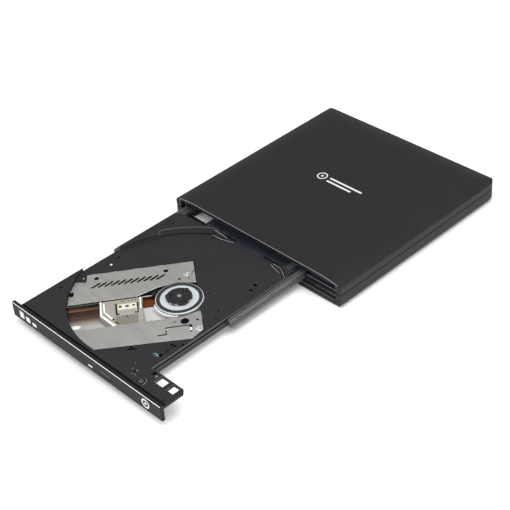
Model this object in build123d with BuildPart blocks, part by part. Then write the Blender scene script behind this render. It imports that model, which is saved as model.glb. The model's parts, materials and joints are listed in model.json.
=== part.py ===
"""External optical drive: a thin desktop case with a slim tray drive inside, tray pulled out.

Millimetres, +Z up, +X to the right seen from the front, +Y to the back. The origin is on the
surface that the case stands on, under the middle of the box round the case and the open tray.
"""
import os
from math import cos, radians, sin

from build123d import *

# ---------------------------------------------------------------- driving dimensions
CASE_W = 140.0            # case width
CASE_D = 142.0            # case depth
CASE_TOP = 17.0           # top of the case above the table
FOOT_H = 0.8              # rubber feet
CASE_R = 6.0              # corner radius in plan at the back
FRONT_R = 2.5             # corner radius in plan at the front
WALL = 1.8                # shell wall
SEAM_Z = 9.3              # joint between the two shells
CREASE_Z = 13.7           # where the domed top meets the upright sides
DOME_W = 16.0             # width of the domed margin of the top
LIP_W = 1.6               # rounded lip between the domed margin and the side
LIP_Z = 14.95
GROOVE_H = 0.35           # half height of the groove at the seam
BASE_R = 2.8              # rounding under the bottom shell
TRAY_OUT = 130.0          # travel of the tray

FRONT_Y = (TRAY_OUT - CASE_D) / 2         # front face of the case
BACK_Y = FRONT_Y + CASE_D
BEZEL_Y = FRONT_Y - TRAY_OUT              # front face of the bezel with the tray out
FLOOR_Z = FOOT_H + WALL                   # inside floor of the case
INNER_X = CASE_W / 2 - WALL
CEILING_Z = CASE_TOP - 2.0

OPENING_X = 65.6          # half width of the front opening
OPENING_Z = (4.0, 14.6)

# slim drive module, fixed in the case
PAN_X = 65.0
PAN_Y = (FRONT_Y + 2.6, 123.5)
PAN_Z = (4.1, 4.6)
SHEET = 0.5
COVER_Z = (13.4, 13.9)

# tray
BEZEL_X = 65.1
BEZEL_T = 2.2
BEZEL_Z = (4.3, 14.2)
TRAY_Y = BEZEL_Y + BEZEL_T                # front of the tray moulding
TRAY_BACK = -10.6
TRAY_LEFT = -60.0
TRAY_RIGHT = 36.0
LEDGE_X = 65.1                            # right end of the ledge behind the bezel
LEDGE_BACK = -118.0
DECK_Z = (11.7, 12.9)
RECESS_Z = (9.6, 10.8)                    # floor of the disc recess
RECESS_R = 61.7
RECESS_SHIFT = 4.5                        # offset of the wider arc at the recess's left end
RECESS_OPEN_Y = -60.2                     # the recess runs over the tray's left edge up to here
RECESS_WALL = 1.8
SLOPE = 3.4                               # how far the recess wall slopes outward at the back left
SLOPE_ANGLE = 130
SKIRT_Z = 7.6
SKIRT_W = 2.4
LIP_BELOW_Z = 5.2                         # thin lip under each side wall
LIP_BELOW_T = 0.6
GROOVE_Z = (8.1, 9.5)
GROOVE_D = 1.4
UNDER_Z = (5.1, 5.5)                      # sheet under the tray

# spindle and the slanting pickup unit; s runs along the pickup's path, t across it
SPINDLE_X = 2.7
SPINDLE_Y = -68.0
PATH_ANGLE = 53.0
PLATE_Z = (10.2, 10.6)
PLATE_FIT = 0.5           # gap between the cover plates and the recess wall
PLATE_SCREW_SPOTS = ((-46.5, 28.8), (-5.9, 27.3))
FRAME_Z = (5.9, 9.2)
ROD_Z = 7.8
ROD_R = 0.8
UPPER_ROD_T = 9.0
LOWER_ROD_T = -19.6
SCREW_T = -23.0
SCREW_R = 1.0
RUN_FIT = 0.05
TURNTABLE_R = 14.0
TURNTABLE_Z = (9.8, 10.9)
SEAT_R = (11.3, 13.4)      # rubber ring under the disc
HUB_R = 7.45
HUB_TOP = 12.6
CLAW_ANGLES = (100, 220, 340)
DAMPER_SPOTS = ((-40.0, 36.8), (-30.0, -39.6), (18.6, -13.0), (18.6, 16.0))
DAMPER_R = 2.4
LATCH_PIVOT = (32.2, -129.5)
LATCH_POST = (34.3, 6.1)
LATCH_SWING = 14.0        # degrees from engaged to released
BOSS = (41.4, -128.9)     # screw boss in the ledge behind the bezel
LENS_S = -30.0

# rails between the tray and the case
RAIL_W = 2.6
RAIL_GAP = 0.6
RAIL_Z = (4.9, 10.3)
RAIL_Y = (-63.0, 44.0)
TONGUE_Z = (8.4, 9.2)
TONGUE_L = 1.65
GUIDE_TOP = 11.0
RAIL_GROOVE_Z = (6.8, 8.4)

SOCKET_X = 30.0           # USB socket at the back
SOCKET_Z = 6.0
SOCKET_W = 8.94
SOCKET_H = 3.16
SOCKET_WALL = 0.3

SCREW_HEAD_R = 1.3
SCREW_SPOTS = ((-66.9, 18.0, 1.5), (66.9, 18.0, 1.5), (-63.0, 129.5, 2.4), (63.0, 129.5, 2.4))
FOOT_SPOTS = ((-54.0, 6.0), (54.0, 6.0), (-54.0, 122.0), (54.0, 122.0))

PATH = Plane(
    origin=(SPINDLE_X, SPINDLE_Y, 0),
    x_dir=(cos(radians(PATH_ANGLE)), sin(radians(PATH_ANGLE)), 0),
    z_dir=(0, 0, 1),
)


# ---------------------------------------------------------------- helpers
def block(x, y, z, mode=Mode.ADD):
    """A box from its low and high corner along each axis."""
    middle = ((x[0] + x[1]) / 2, (y[0] + y[1]) / 2, (z[0] + z[1]) / 2)
    with Locations(middle):
        Box(x[1] - x[0], y[1] - y[0], z[1] - z[0], mode=mode)


def rod(spot, radius, z, mode=Mode.ADD):
    """An upright cylinder from z[0] to z[1]."""
    with Locations((spot[0], spot[1], (z[0] + z[1]) / 2)):
        Cylinder(radius, z[1] - z[0], mode=mode)


def prism(points, z, mode=Mode.ADD, base=Plane.XY):
    """An upright prism on a closed outline given in the base plane."""
    with BuildSketch(base.offset(z[0])) as outline:
        with BuildLine():
            Polyline(*points, close=True)
        make_face()
    extrude(outline.sketch, amount=z[1] - z[0], mode=mode)


def path_block(s, t, z, mode=Mode.ADD):
    """A box whose sides run along and across the pickup's path."""
    prism(((s[0], t[0]), (s[1], t[0]), (s[1], t[1]), (s[0], t[1])), z, mode, PATH)


def on_path(s, t):
    """The plan position of a point given along and across the pickup's path."""
    point = PATH.from_local_coords(Vector(s, t, 0))
    return (point.X, point.Y)


def path_bar(s, t, z, radius, mode=Mode.ADD):
    """A round bar along the pickup's path, from s[0] to s[1]."""
    along = Plane(origin=(*on_path(s[0], t), z), z_dir=PATH.x_dir)
    with BuildSketch(along) as ring:
        Circle(radius)
    extrude(ring.sketch, amount=s[1] - s[0], mode=mode)


def case_plan(z, height, inset=0.0, mode=Mode.ADD):
    """The rounded plan of the case, extruded upward from z."""
    with BuildSketch(Plane.XY.offset(z)) as plan:
        with Locations((0, (FRONT_Y + BACK_Y) / 2)):
            Rectangle(CASE_W - 2 * inset, CASE_D - 2 * inset)
        corners = plan.vertices().group_by(Axis.Y)
        fillet(corners[-1], CASE_R - inset)
        fillet(corners[0], FRONT_R - inset)
    extrude(plan.sketch, amount=height, mode=mode)


def dome_points(edge):
    """Points along the domed margin, from the flat top over the lip down to the crease."""
    lip = edge - LIP_W
    middle = (edge - DOME_W + lip) / 2
    drop = CASE_TOP - LIP_Z
    return (
        (edge - DOME_W, CASE_TOP), (middle, CASE_TOP - drop / 4), (lip, LIP_Z),
        (edge - 0.45, CREASE_Z + 0.75), (edge, CREASE_Z),
    )


def dome_line(points):
    """Two arcs through the five points; gives their first and last point."""
    ThreePointArc(*points[:3])
    ThreePointArc(*points[2:])
    return points[0], points[-1]


# ---------------------------------------------------------------- case
def make_top_shell():
    with BuildPart() as shell:
        case_plan(SEAM_Z, CASE_TOP - SEAM_Z)
        with BuildSketch(Plane.XZ.offset(-BACK_Y - 1)) as side_profile:
            with BuildLine():
                right = dome_points(CASE_W / 2)
                start, end = dome_line(right)
                left_start, left_end = dome_line([(-x, z) for x, z in reversed(right)])
                Polyline(end, (CASE_W / 2, SEAM_Z), (-CASE_W / 2, SEAM_Z), left_start)
                Line(left_end, start)
            make_face()
        extrude(side_profile.sketch, amount=CASE_D + 2, mode=Mode.INTERSECT)
        with BuildSketch(Plane.YZ.offset(-CASE_W)) as back_profile:
            with BuildLine():
                start, end = dome_line(dome_points(BACK_Y))
                Polyline(end, (BACK_Y, SEAM_Z), (FRONT_Y, SEAM_Z), (FRONT_Y, CASE_TOP), start)
            make_face()
        extrude(back_profile.sketch, amount=2 * CASE_W, mode=Mode.INTERSECT)
        front_edges = shell.edges().group_by(Axis.Y)[0].filter_by(
            lambda edge: edge.center().Z > CREASE_Z)
        chamfer(front_edges, 0.35)
        # hollow, lower under the domed margins
        inner_y = (FRONT_Y + 2.4, BACK_Y - 9.0)
        block((-62, 62), inner_y, (SEAM_Z, CEILING_Z), Mode.SUBTRACT)
        block((-66, 66), inner_y, (SEAM_Z, 14.1), Mode.SUBTRACT)
        block((-INNER_X, INNER_X), (inner_y[0], BACK_Y - CASE_R), (SEAM_Z, 12.6), Mode.SUBTRACT)
        block((-62, 62), (BACK_Y - 12, BACK_Y - WALL), (SEAM_Z, 12.6), Mode.SUBTRACT)
        block((-OPENING_X, OPENING_X), (FRONT_Y - 1, FRONT_Y + 4), (SEAM_Z, OPENING_Z[1]), Mode.SUBTRACT)
        # outer half of the groove at the seam
        case_plan(SEAM_Z, GROOVE_H, mode=Mode.SUBTRACT)
        case_plan(SEAM_Z, GROOVE_H, inset=0.7)
        groove = (SEAM_Z, SEAM_Z + GROOVE_H)
        block((-62, 62), (inner_y[0], BACK_Y - WALL), groove, Mode.SUBTRACT)
        block((-INNER_X, INNER_X), (inner_y[0], BACK_Y - CASE_R), groove, Mode.SUBTRACT)
        block((-OPENING_X, OPENING_X), (FRONT_Y - 1, FRONT_Y + 4), groove, Mode.SUBTRACT)
        for x, y, radius in SCREW_SPOTS:
            rod((x, y), radius, (SEAM_Z, 12.7))
            rod((x, y), 0.6, (SEAM_Z, 11.7), Mode.SUBTRACT)
    return shell


def make_bottom_shell():
    with BuildPart() as shell:
        case_plan(FOOT_H, SEAM_Z - FOOT_H)
        under = shell.faces().sort_by(Axis.Z)[0].edges().filter_by(
            lambda edge: edge.center().Y > FRONT_Y + 4.5)
        fillet(under, BASE_R)
        inner_y = (FRONT_Y + 2.4, BACK_Y - WALL)
        block((-INNER_X, INNER_X), (inner_y[0], BACK_Y - CASE_R), (FLOOR_Z, SEAM_Z), Mode.SUBTRACT)
        block((-62, 62), inner_y, (FLOOR_Z, SEAM_Z), Mode.SUBTRACT)
        block((-OPENING_X, OPENING_X), (FRONT_Y - 1, FRONT_Y + 4), (OPENING_Z[0], SEAM_Z), Mode.SUBTRACT)
        # groove round the seam and the narrow line along the front lip
        with BuildPart(mode=Mode.PRIVATE) as groove:
            case_plan(SEAM_Z - GROOVE_H, GROOVE_H, inset=-0.5)
            case_plan(SEAM_Z - GROOVE_H, GROOVE_H, inset=0.7, mode=Mode.SUBTRACT)
        add(groove.part, mode=Mode.SUBTRACT)
        block((-66, 66), (FRONT_Y - 1, FRONT_Y + 0.5), (2.3, 2.8), Mode.SUBTRACT)
        for x, y, radius in SCREW_SPOTS:
            rod((x, y), radius, (FLOOR_Z - 0.4, SEAM_Z))
            rod((x, y), 0.7, (FOOT_H, SEAM_Z), Mode.SUBTRACT)
            rod((x, y), SCREW_HEAD_R + 0.1, (FOOT_H, 2.0), Mode.SUBTRACT)
        # standoffs for the bridge board and the socket hole in the back wall
        for x in (13.0, 53.0):
            for y in (126.5, 131.5):
                rod((x, y), 1.6, (FLOOR_Z, 3.6))
        with BuildSketch(Plane.XZ.offset(-BACK_Y - 1)) as port:
            with Locations((SOCKET_X, SOCKET_Z)):
                SlotOverall(SOCKET_W + 0.5, SOCKET_H + 0.5)
        extrude(amount=4, mode=Mode.SUBTRACT)
    return shell


def make_rubber_feet():
    with BuildPart() as feet:
        for spot in FOOT_SPOTS:
            rod(spot, 5.0, (0, FOOT_H))
        fillet(feet.edges().group_by(Axis.Z)[0], 0.3)
    return feet


def make_shell_screws():
    with BuildPart() as screws:
        for x, y, _ in SCREW_SPOTS:
            rod((x, y), SCREW_HEAD_R, (1.3, 2.0))
            rod((x, y), 0.6, (2.0, 11.6))
            rod((x, y), 0.5, (1.2, 1.6), Mode.SUBTRACT)
    return screws


def make_drive_pan():
    base_top = PAN_Z[1]
    with BuildPart() as pan:
        block((-PAN_X, PAN_X), PAN_Y, PAN_Z)
        block((-PAN_X, -PAN_X + SHEET), PAN_Y, (PAN_Z[0], COVER_Z[0]))
        block((PAN_X - SHEET, PAN_X), PAN_Y, (PAN_Z[0], 10.8))
        block((PAN_X - SHEET, PAN_X), (13.5, PAN_Y[1]), (PAN_Z[0], COVER_Z[0]))
        block((-PAN_X, PAN_X), (PAN_Y[1] - SHEET, PAN_Y[1]), (PAN_Z[0], COVER_Z[0]))
        # corner tabs that take the cover's screws
        for y in (16.0, 112.0):
            block((-PAN_X, -60.8), (y, y + 7), (COVER_Z[0] - SHEET, COVER_Z[0]))
            rod((-62.6, y + 3.5), 0.75, (12.0, 14.0), Mode.SUBTRACT)
            block((58.0, PAN_X), (y, y + 7), (COVER_Z[0] - SHEET, COVER_Z[0]))
            rod((61.0, y + 3.5), 0.75, (12.0, 14.0), Mode.SUBTRACT)
        # dimples under the main board
        for x in (47.0, 60.5):
            for y in (12.0, 100.0):
                rod((x, y), 1.8, (base_top, 5.0))
        block((41.5, 58.5), (PAN_Y[1] - 1, PAN_Y[1] + 1), (5.5, 9.6), Mode.SUBTRACT)
    return pan


def make_drive_cover():
    with BuildPart() as cover:
        block((-PAN_X, PAN_X), PAN_Y, COVER_Z)
        for y in (19.5, 115.5):
            for x in (-62.6, 61.0):
                rod((x, y), 1.4, COVER_Z, Mode.SUBTRACT)
        # shallow stiffening panel pressed into the sheet
        block((-45, 45), (20, 105), (13.75, COVER_Z[1]), Mode.SUBTRACT)
    return cover


def make_drive_screws():
    with BuildPart() as screws:
        for y in (19.5, 115.5):
            for x in (-62.6, 61.0):
                rod((x, y), 1.35, COVER_Z)
                rod((x, y), 0.7, (12.9, COVER_Z[0]))
    return screws


def make_drive_cushions():
    with BuildPart() as pads:
        for x in (-48.0, 48.0):
            for y in (24.0, 100.0):
                block((x - 6, x + 6), (y - 6, y + 6), (FLOOR_Z, PAN_Z[0]))
        for y in (12.0, 113.0):
            block((-25, 25), (y - 4, y + 4), (COVER_Z[1], CEILING_Z))
    return pads


def make_pan_film():
    with BuildPart() as film:
        block((-57.5, 33.2), (PAN_Y[0], 119.0), (PAN_Z[1], 4.75))
    return film


def make_side_shelf():
    left, right = 40.6, 64.2
    y = (PAN_Y[0], 112.0)
    with BuildPart() as shelf:
        block((left, right), y, (8.2, 8.6))
        block((left, left + 0.4), y, (PAN_Z[1], 8.4))
        block((right - 0.4, right), y, (PAN_Z[1], 8.4))
        block((left - 1, left + 1), (45.0, 61.0), (PAN_Z[1], 5.2), Mode.SUBTRACT)
        for y_slot in range(25, 100, 12):
            block((50, 58), (y_slot, y_slot + 1.5), (8, 9), Mode.SUBTRACT)
    return shelf


def make_main_board():
    with BuildPart() as board:
        block((43.9, 63.4), (8.0, 118.0), (5.0, 5.8))
        for x in (47.0, 60.5):
            for y in (12.0, 100.0):
                rod((x, y), 0.8, (5.0, 5.8), Mode.SUBTRACT)
    return board


def make_board_chips():
    with BuildPart() as chips:
        block((50, 62), (40, 52), (5.8, 7.0))
        block((52, 60), (64, 78), (5.8, 6.9))
        block((50, 57), (86, 92), (5.8, 7.2))
        block((48, 52), (20, 25), (5.8, 6.8))
        block((55, 61), (24, 30), (5.8, 7.4))
        # two on the bridge board
        block((16.0, 22.0), (125.2, 131.2), (4.4, 5.4))
        block((10.0, 12.5), (128.0, 132.0), (4.4, 5.6))
    return chips


def make_flex_socket():
    with BuildPart() as socket:
        block((44.5, 48.0), (45.5, 60.5), (5.8, 7.2))
        block((44.5, 46.5), (46.0, 60.0), (6.2, 6.45), Mode.SUBTRACT)
    return socket


def make_flex_cable():
    """Flat cable: along the pan, folded back under the tray, and up into its socket."""
    low, high = 4.75, UNDER_Z[0]
    thick = 0.15
    with BuildPart() as flex:
        block((-18.0, 6.0), (-30.0, 60.0), (low, low + thick))
        block((-18.0, 6.0), (-30.0, -30.0 + thick), (low, high))
        block((-18.0, 6.0), (-30.0, -18.0), (high - thick, high))
        block((6.0, 43.5), (46.2, 59.8), (low, low + thick))
        block((43.5 - thick, 43.5), (46.2, 59.8), (low, 6.4))
        block((43.5 - thick, 45.5), (46.2, 59.8), (6.4 - thick, 6.4))
    return flex


def make_drive_plug():
    with BuildPart() as plug:
        block((42.0, 58.0), (114.0, PAN_Y[1]), (5.8, 9.2))
        block((44.0, 56.0), (PAN_Y[1], 127.3), (7.1, 8.1))
    return plug


def make_bridge_socket():
    with BuildPart() as socket:
        block((41.5, 58.5), (124.0, 130.5), (4.4, 9.0))
        block((43.6, 56.4), (124.0, 127.7), (6.8, 8.4), Mode.SUBTRACT)
    return socket


def make_bridge_board():
    with BuildPart() as board:
        block((8.0, 58.8), (124.0, 133.6), (3.6, 4.4))
        for x in (13.0, 53.0):
            for y in (126.5, 131.5):
                rod((x, y), 0.6, (3.6, 4.4), Mode.SUBTRACT)
    return board


def make_usb_socket():
    back = Plane.XZ.offset(-BACK_Y)
    with BuildPart() as socket:
        with BuildSketch(back):
            with Locations((SOCKET_X, SOCKET_Z)):
                SlotOverall(SOCKET_W, SOCKET_H)
                SlotOverall(SOCKET_W - 2 * SOCKET_WALL, SOCKET_H - 2 * SOCKET_WALL, mode=Mode.SUBTRACT)
        extrude(amount=7.4)
    return socket


def make_usb_tongue():
    with BuildPart() as tongue:
        with BuildSketch(Plane.XZ.offset(-BACK_Y + 6.6)):
            with Locations((SOCKET_X, SOCKET_Z)):
                SlotOverall(SOCKET_W - 2 * SOCKET_WALL, SOCKET_H - 2 * SOCKET_WALL)
        extrude(amount=0.8)
        blade = (SOCKET_Z - 0.35, SOCKET_Z + 0.35)
        block((SOCKET_X - 3.3, SOCKET_X + 3.3), (BACK_Y - 6.7, BACK_Y - 0.9), blade)
    return tongue


def make_latch_post():
    with BuildPart() as post:
        rod(LATCH_POST, 0.85, (PAN_Z[1], 5.0))
        rod(LATCH_POST, 0.6, (5.0, 7.2))
    return post


# ---------------------------------------------------------------- rails and guides
def rail_face(side):
    """Where a rail's inner face is; side is +1 at the tray's right and -1 at its left."""
    return TRAY_RIGHT + RAIL_GAP if side > 0 else TRAY_LEFT - RAIL_GAP


def span(a, b):
    return (min(a, b), max(a, b))


def make_rail(side):
    inner = rail_face(side)
    outer = inner + side * RAIL_W
    with BuildPart() as rail:
        block(span(inner, outer), RAIL_Y, RAIL_Z)
        nose = rail.edges().filter_by(Axis.X).group_by(Axis.Y)[0]
        fillet(nose, 1.6)
        block(span(inner - side * TONGUE_L, inner + side * 0.2), (RAIL_Y[0] + 2, RAIL_Y[1]), TONGUE_Z)
        groove = span(outer - side * 0.6, outer + side)
        block(groove, (RAIL_Y[0] - 1, RAIL_Y[1] + 1), RAIL_GROOVE_Z, Mode.SUBTRACT)
        for y in (-58.3, -33.0):
            block(span(outer - side * 0.9, outer + side), (y, y + 4.3), (8.9, 9.7), Mode.SUBTRACT)
        block(span(inner - side, inner + side), (-50.6, -48.4), (9.5, 10.5), Mode.SUBTRACT)
    return rail


def make_guide(side):
    inner = rail_face(side)
    web = inner + side * (RAIL_W + 0.3)
    y = (PAN_Y[0], 112.0)
    with BuildPart() as guide:
        block(span(web, web + side * 0.8), y, (PAN_Z[1], GUIDE_TOP))
        block(span(web - side * 0.6, web), y, (7.1, 8.1))
        block(span(inner + side * 0.6, web), y, (GUIDE_TOP - 0.4, GUIDE_TOP))
        if side > 0:
            block(span(web - 1, web + 2), (45.5, 60.5), (PAN_Z[1], 5.2), Mode.SUBTRACT)
    return guide


# ---------------------------------------------------------------- tray
def tray_outline():
    return (
        (TRAY_LEFT, TRAY_Y), (LEDGE_X, TRAY_Y), (LEDGE_X, LEDGE_BACK - 2.3), (LEDGE_X - 2.3, LEDGE_BACK),
        (TRAY_RIGHT, LEDGE_BACK), *back_edge(),
    )


def back_edge():
    """Back edge of the tray from its right corner to its left side."""
    step = TRAY_BACK - 3.0
    return (TRAY_RIGHT, TRAY_BACK), (-34.0, TRAY_BACK), (-37.0, step), (-57.0, step), (TRAY_LEFT, -16.6)


def recess_body(z, grow=0.0, mode=Mode.ADD):
    """The disc recess as a solid; its left part bulges outward and runs over the tray's edge."""
    with BuildSketch(Plane.XY.offset(z[0])) as plan:
        with Locations((SPINDLE_X - RECESS_SHIFT, SPINDLE_Y)):
            Circle(RECESS_R + grow)
        with Locations((-40, RECESS_OPEN_Y - 40)):
            Rectangle(80, 80, mode=Mode.INTERSECT)
        with Locations((SPINDLE_X, SPINDLE_Y)):
            Circle(RECESS_R + grow)
    extrude(plan.sketch, amount=z[1] - z[0], mode=mode)


def spindle_ray(angle, length):
    """A point in plan at an angle in degrees and a distance from the spindle."""
    return (SPINDLE_X + length * cos(radians(angle)), SPINDLE_Y + length * sin(radians(angle)))


def back_slope():
    """What the sloping part of the recess wall takes from the rim; it fades out to the right."""
    with BuildPart() as slope:
        with BuildSketch(Plane.XY.offset(RECESS_Z[1])):
            with Locations((SPINDLE_X, SPINDLE_Y)):
                Circle(RECESS_R)
        with BuildSketch(Plane.XY.offset(DECK_Z[1])):
            with Locations(spindle_ray(SLOPE_ANGLE, SLOPE)):
                Circle(RECESS_R)
        loft()
        wedge = [(SPINDLE_X, SPINDLE_Y)] + [spindle_ray(angle, 90) for angle in (40, 95, 150)]
        prism(wedge, (RECESS_Z[1], DECK_Z[1]), Mode.INTERSECT)
    return slope.part


def plate_window(grow):
    """Outline in (s, t) of the opening that holds both cover plates, left open at the arc."""
    far = -RECESS_R - 8
    return (
        (far, 27.8 + grow), (-58.8 - grow, 27.8 + grow), (-52.6 - grow, 26.6 + grow),
        (-52.0 - grow, 33.0 + grow), (10.7 + grow, 33.0 + grow), (10.9 + grow, -30.0 - grow / 2),
        (4.3 + grow, -36.1 - grow), (-51.4, -34.0 - grow), (far, -34.0 - grow),
    )


def make_tray_deck():
    with BuildPart() as deck:
        prism(tray_outline(), DECK_Z)
        # floor of the disc recess with its wall
        with BuildPart(mode=Mode.PRIVATE) as bowl:
            prism(((TRAY_LEFT, TRAY_Y), (TRAY_RIGHT, TRAY_Y), *back_edge()), (RECESS_Z[0], DECK_Z[0]))
            recess_body((RECESS_Z[0], DECK_Z[0]), RECESS_WALL, Mode.INTERSECT)
        add(bowl.part)
        # side walls that run on the rails
        for side, edge, back in ((-1, TRAY_LEFT, -16.6), (1, TRAY_RIGHT, TRAY_BACK)):
            block(span(edge, edge - side * SKIRT_W), (TRAY_Y, back), (SKIRT_Z, RECESS_Z[0]))
            block(span(edge, edge - side * LIP_BELOW_T), (TRAY_Y, back), (LIP_BELOW_Z, SKIRT_Z))
            block(span(edge, edge - side * 1.0), (TRAY_Y, back), (RECESS_Z[0], RECESS_Z[1]))
            block(span(edge + side, edge - side * GROOVE_D), (TRAY_Y + 5, back + 1), GROOVE_Z, Mode.SUBTRACT)
        block((TRAY_LEFT, TRAY_LEFT + 1.0), (TRAY_Y, -16.6), (RECESS_Z[1], DECK_Z[0]))
        recess_body((RECESS_Z[1], DECK_Z[1]), 0.0, Mode.SUBTRACT)
        add(back_slope(), mode=Mode.SUBTRACT)
        # window over the pickup unit, and the tunnel into which the pickup runs
        depth = (RECESS_Z[0] - 1, RECESS_Z[1] + 0.2)
        with BuildPart(mode=Mode.PRIVATE) as window:
            prism(plate_window(0.6), depth, base=PATH)
            recess_body(depth, 0.0, Mode.INTERSECT)
            rod((SPINDLE_X, SPINDLE_Y), TURNTABLE_R + 0.7, depth)
        add(window.part, mode=Mode.SUBTRACT)
        path_block((-78, -50), (-18.2, 8.2), (RECESS_Z[0] - 1, 11.2), Mode.SUBTRACT)
        # cut-outs in the ledge behind the bezel
        block((47.2, 53.5), (-124.5, -119.1), (11, 14), Mode.SUBTRACT)
        block((56.7, 61.6), (-124.4, -119.2), (11, 14), Mode.SUBTRACT)
        prism(((42.4, -119.6), (45.4, -119.6), (44.8, -122.2)), (11, 14), Mode.SUBTRACT)
        prism(((39.4, -121.8), (42.8, -121.4), (43.6, -119.3), (41.3, -118.7)), (12.2, 14), Mode.SUBTRACT)
        rod((60.9, -131.2), 1.4, (12.1, 14), Mode.SUBTRACT)
        # screw boss, and small holes and slots of the moulding
        rod(BOSS, 2.9, (DECK_Z[1], 13.1))
        rod(BOSS, 2.4, (12.5, 13.2), Mode.SUBTRACT)
        rod(BOSS, 0.6, (11, 13), Mode.SUBTRACT)
        rod((-54.9, -108.6), 2.2, (DECK_Z[1], 13.1))
        rod((-54.9, -108.6), 1.2, (12.2, 13.2), Mode.SUBTRACT)
        for x, y in ((-56.4, -24.0), (-53.4, -24.6)):
            block((x - 0.5, x + 0.5), (y - 3.5, y + 3.5), (12.3, 14), Mode.SUBTRACT)
        block((-55.0, -53.7), (-68.6, -63.9), (9, 12), Mode.SUBTRACT)
        rod((-51.8, -73.9), 1.0, (9, 12), Mode.SUBTRACT)
        block((-51.5, -49.5), (-48.0, -42.0), (10.4, 12), Mode.SUBTRACT)
        for x, y, radius in ((12.7, -53.8, 0.7), (31.8, -66.7, 0.8), (34.0, -93.0, 0.7), (29.5, -97.4, 1.0)):
            rod((x, y), radius, (9, 12), Mode.SUBTRACT)
        for x, y in ((27.0, -31.6), (28.5, -36.3)):
            block((x - 1.6, x + 1.6), (y - 0.9, y + 0.9), (9, 12), Mode.SUBTRACT)
        for x, y in ((12.9, -49.1), (19.3, -36.3)):
            rod((x, y), 1.5, (10.4, 12), Mode.SUBTRACT)
            rod((x, y), 0.6, (9, 12), Mode.SUBTRACT)
        block((30.2, 32.6), (-108.2, -106.0), (9, 12), Mode.SUBTRACT)
        block((12.0, 15.5), (-114.0, -112.6), (9, 12), Mode.SUBTRACT)
        # faint fold lines in the recess floor
        path_block((12.6, 12.9), (8.5, 22.0), (10.6, 11), Mode.SUBTRACT)
        path_block((12.9, 13.2), (-29.0, -18.0), (10.6, 11), Mode.SUBTRACT)
    return deck


def make_deck_screws():
    with BuildPart() as screws:
        for x, y in ((12.9, -49.1), (19.3, -36.3)):
            rod((x, y), 1.3, (10.4, 10.9))
            rod((x, y), 0.55, (RECESS_Z[0], 10.4))
        rod(BOSS, 1.2, (12.5, 13.0))
        rod(BOSS, 0.5, (12.8, 13.1), Mode.SUBTRACT)
        rod(BOSS, 0.55, (11.3, 12.5))
    return screws


def make_front_bezel():
    y = (BEZEL_Y, TRAY_Y)
    with BuildPart() as bezel:
        block((-BEZEL_X, BEZEL_X), y, BEZEL_Z)
        fillet(bezel.edges().group_by(Axis.Y)[0], 0.45)
        block((13.8, 24.6), (BEZEL_Y - 1, TRAY_Y + 1), (6.4, 9.5), Mode.SUBTRACT)
        block((4.2, 7.8), (BEZEL_Y - 1, TRAY_Y + 1), (6.9, 8.1), Mode.SUBTRACT)
        with Locations(Plane(origin=(34.8, BEZEL_Y, 5.9), z_dir=(0, -1, 0))):
            Hole(0.6)
    return bezel


def make_eject_button():
    with BuildPart() as button:
        block((14.1, 24.3), (BEZEL_Y, TRAY_Y + 0.6), (6.7, 9.2))
        fillet(button.edges().group_by(Axis.Y)[0], 0.4)
        block((17.5, 20.5), (TRAY_Y + 0.6, TRAY_Y + 1.1), (7.2, 8.6))
    return button


def make_indicator_lens():
    with BuildPart() as lens:
        block((4.25, 7.75), (BEZEL_Y, TRAY_Y), (6.95, 8.05))
    return lens


def make_button_board():
    with BuildPart() as board:
        block((10.0, 27.0), (-132.4, -125.5), (UNDER_Z[1], 6.3))
    return board


def make_eject_switch():
    with BuildPart() as switch:
        block((16.0, 22.0), (-131.5, -128.4), (6.3, 9.2))
    return switch


def make_tray_under_cover():
    left, right = -57.4, 33.0
    back = -14.0
    wall = (UNDER_Z[0], RECESS_Z[0])
    with BuildPart() as cover:
        block((left, right), (TRAY_Y, back), UNDER_Z)
        block((left, left + 0.4), (TRAY_Y, back), wall)
        block((right - 0.4, right), (LEDGE_BACK, back), wall)
        block((left, right), (back - 0.4, back), wall)
        for x in (-40, -20, 0):
            block((x, x + 12), (-36, -32), (5.0, 5.2), Mode.SUBTRACT)
    return cover


# ---------------------------------------------------------------- pickup unit
def make_upper_cover_plate():
    z = PLATE_Z[0]
    with BuildPart() as plate:
        with BuildSketch(PATH.offset(z)):
            with BuildLine():
                Polyline((-68.0, 7.2), (-24.0, 7.2), (-12.0, 12.6), (0.0, 15.2), (10.7, 12.6), (10.7, 33.0),
                         (-52.0, 33.0), (-52.6, 26.6), (-58.8, 27.8), (-68.0, 27.8), close=True)
            make_face()
            Circle(TURNTABLE_R + 0.9, mode=Mode.SUBTRACT)
            with Locations(*PLATE_SCREW_SPOTS):
                Circle(1.5, mode=Mode.SUBTRACT)
            with Locations((1.3, 17.9)):
                Circle(1.0, mode=Mode.SUBTRACT)
            with Locations((-61.4, 16.6)):
                Ellipse(1.5, 2.4, mode=Mode.SUBTRACT)
            with Locations(*[Location((-47.1 + 3.78 * i, 22.2), 37.0) for i in range(11)]):
                SlotOverall(6.6, 1.5, mode=Mode.SUBTRACT)
        extrude(amount=PLATE_Z[1] - z)
        recess_body(PLATE_Z, -PLATE_FIT, Mode.INTERSECT)
    return plate


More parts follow.
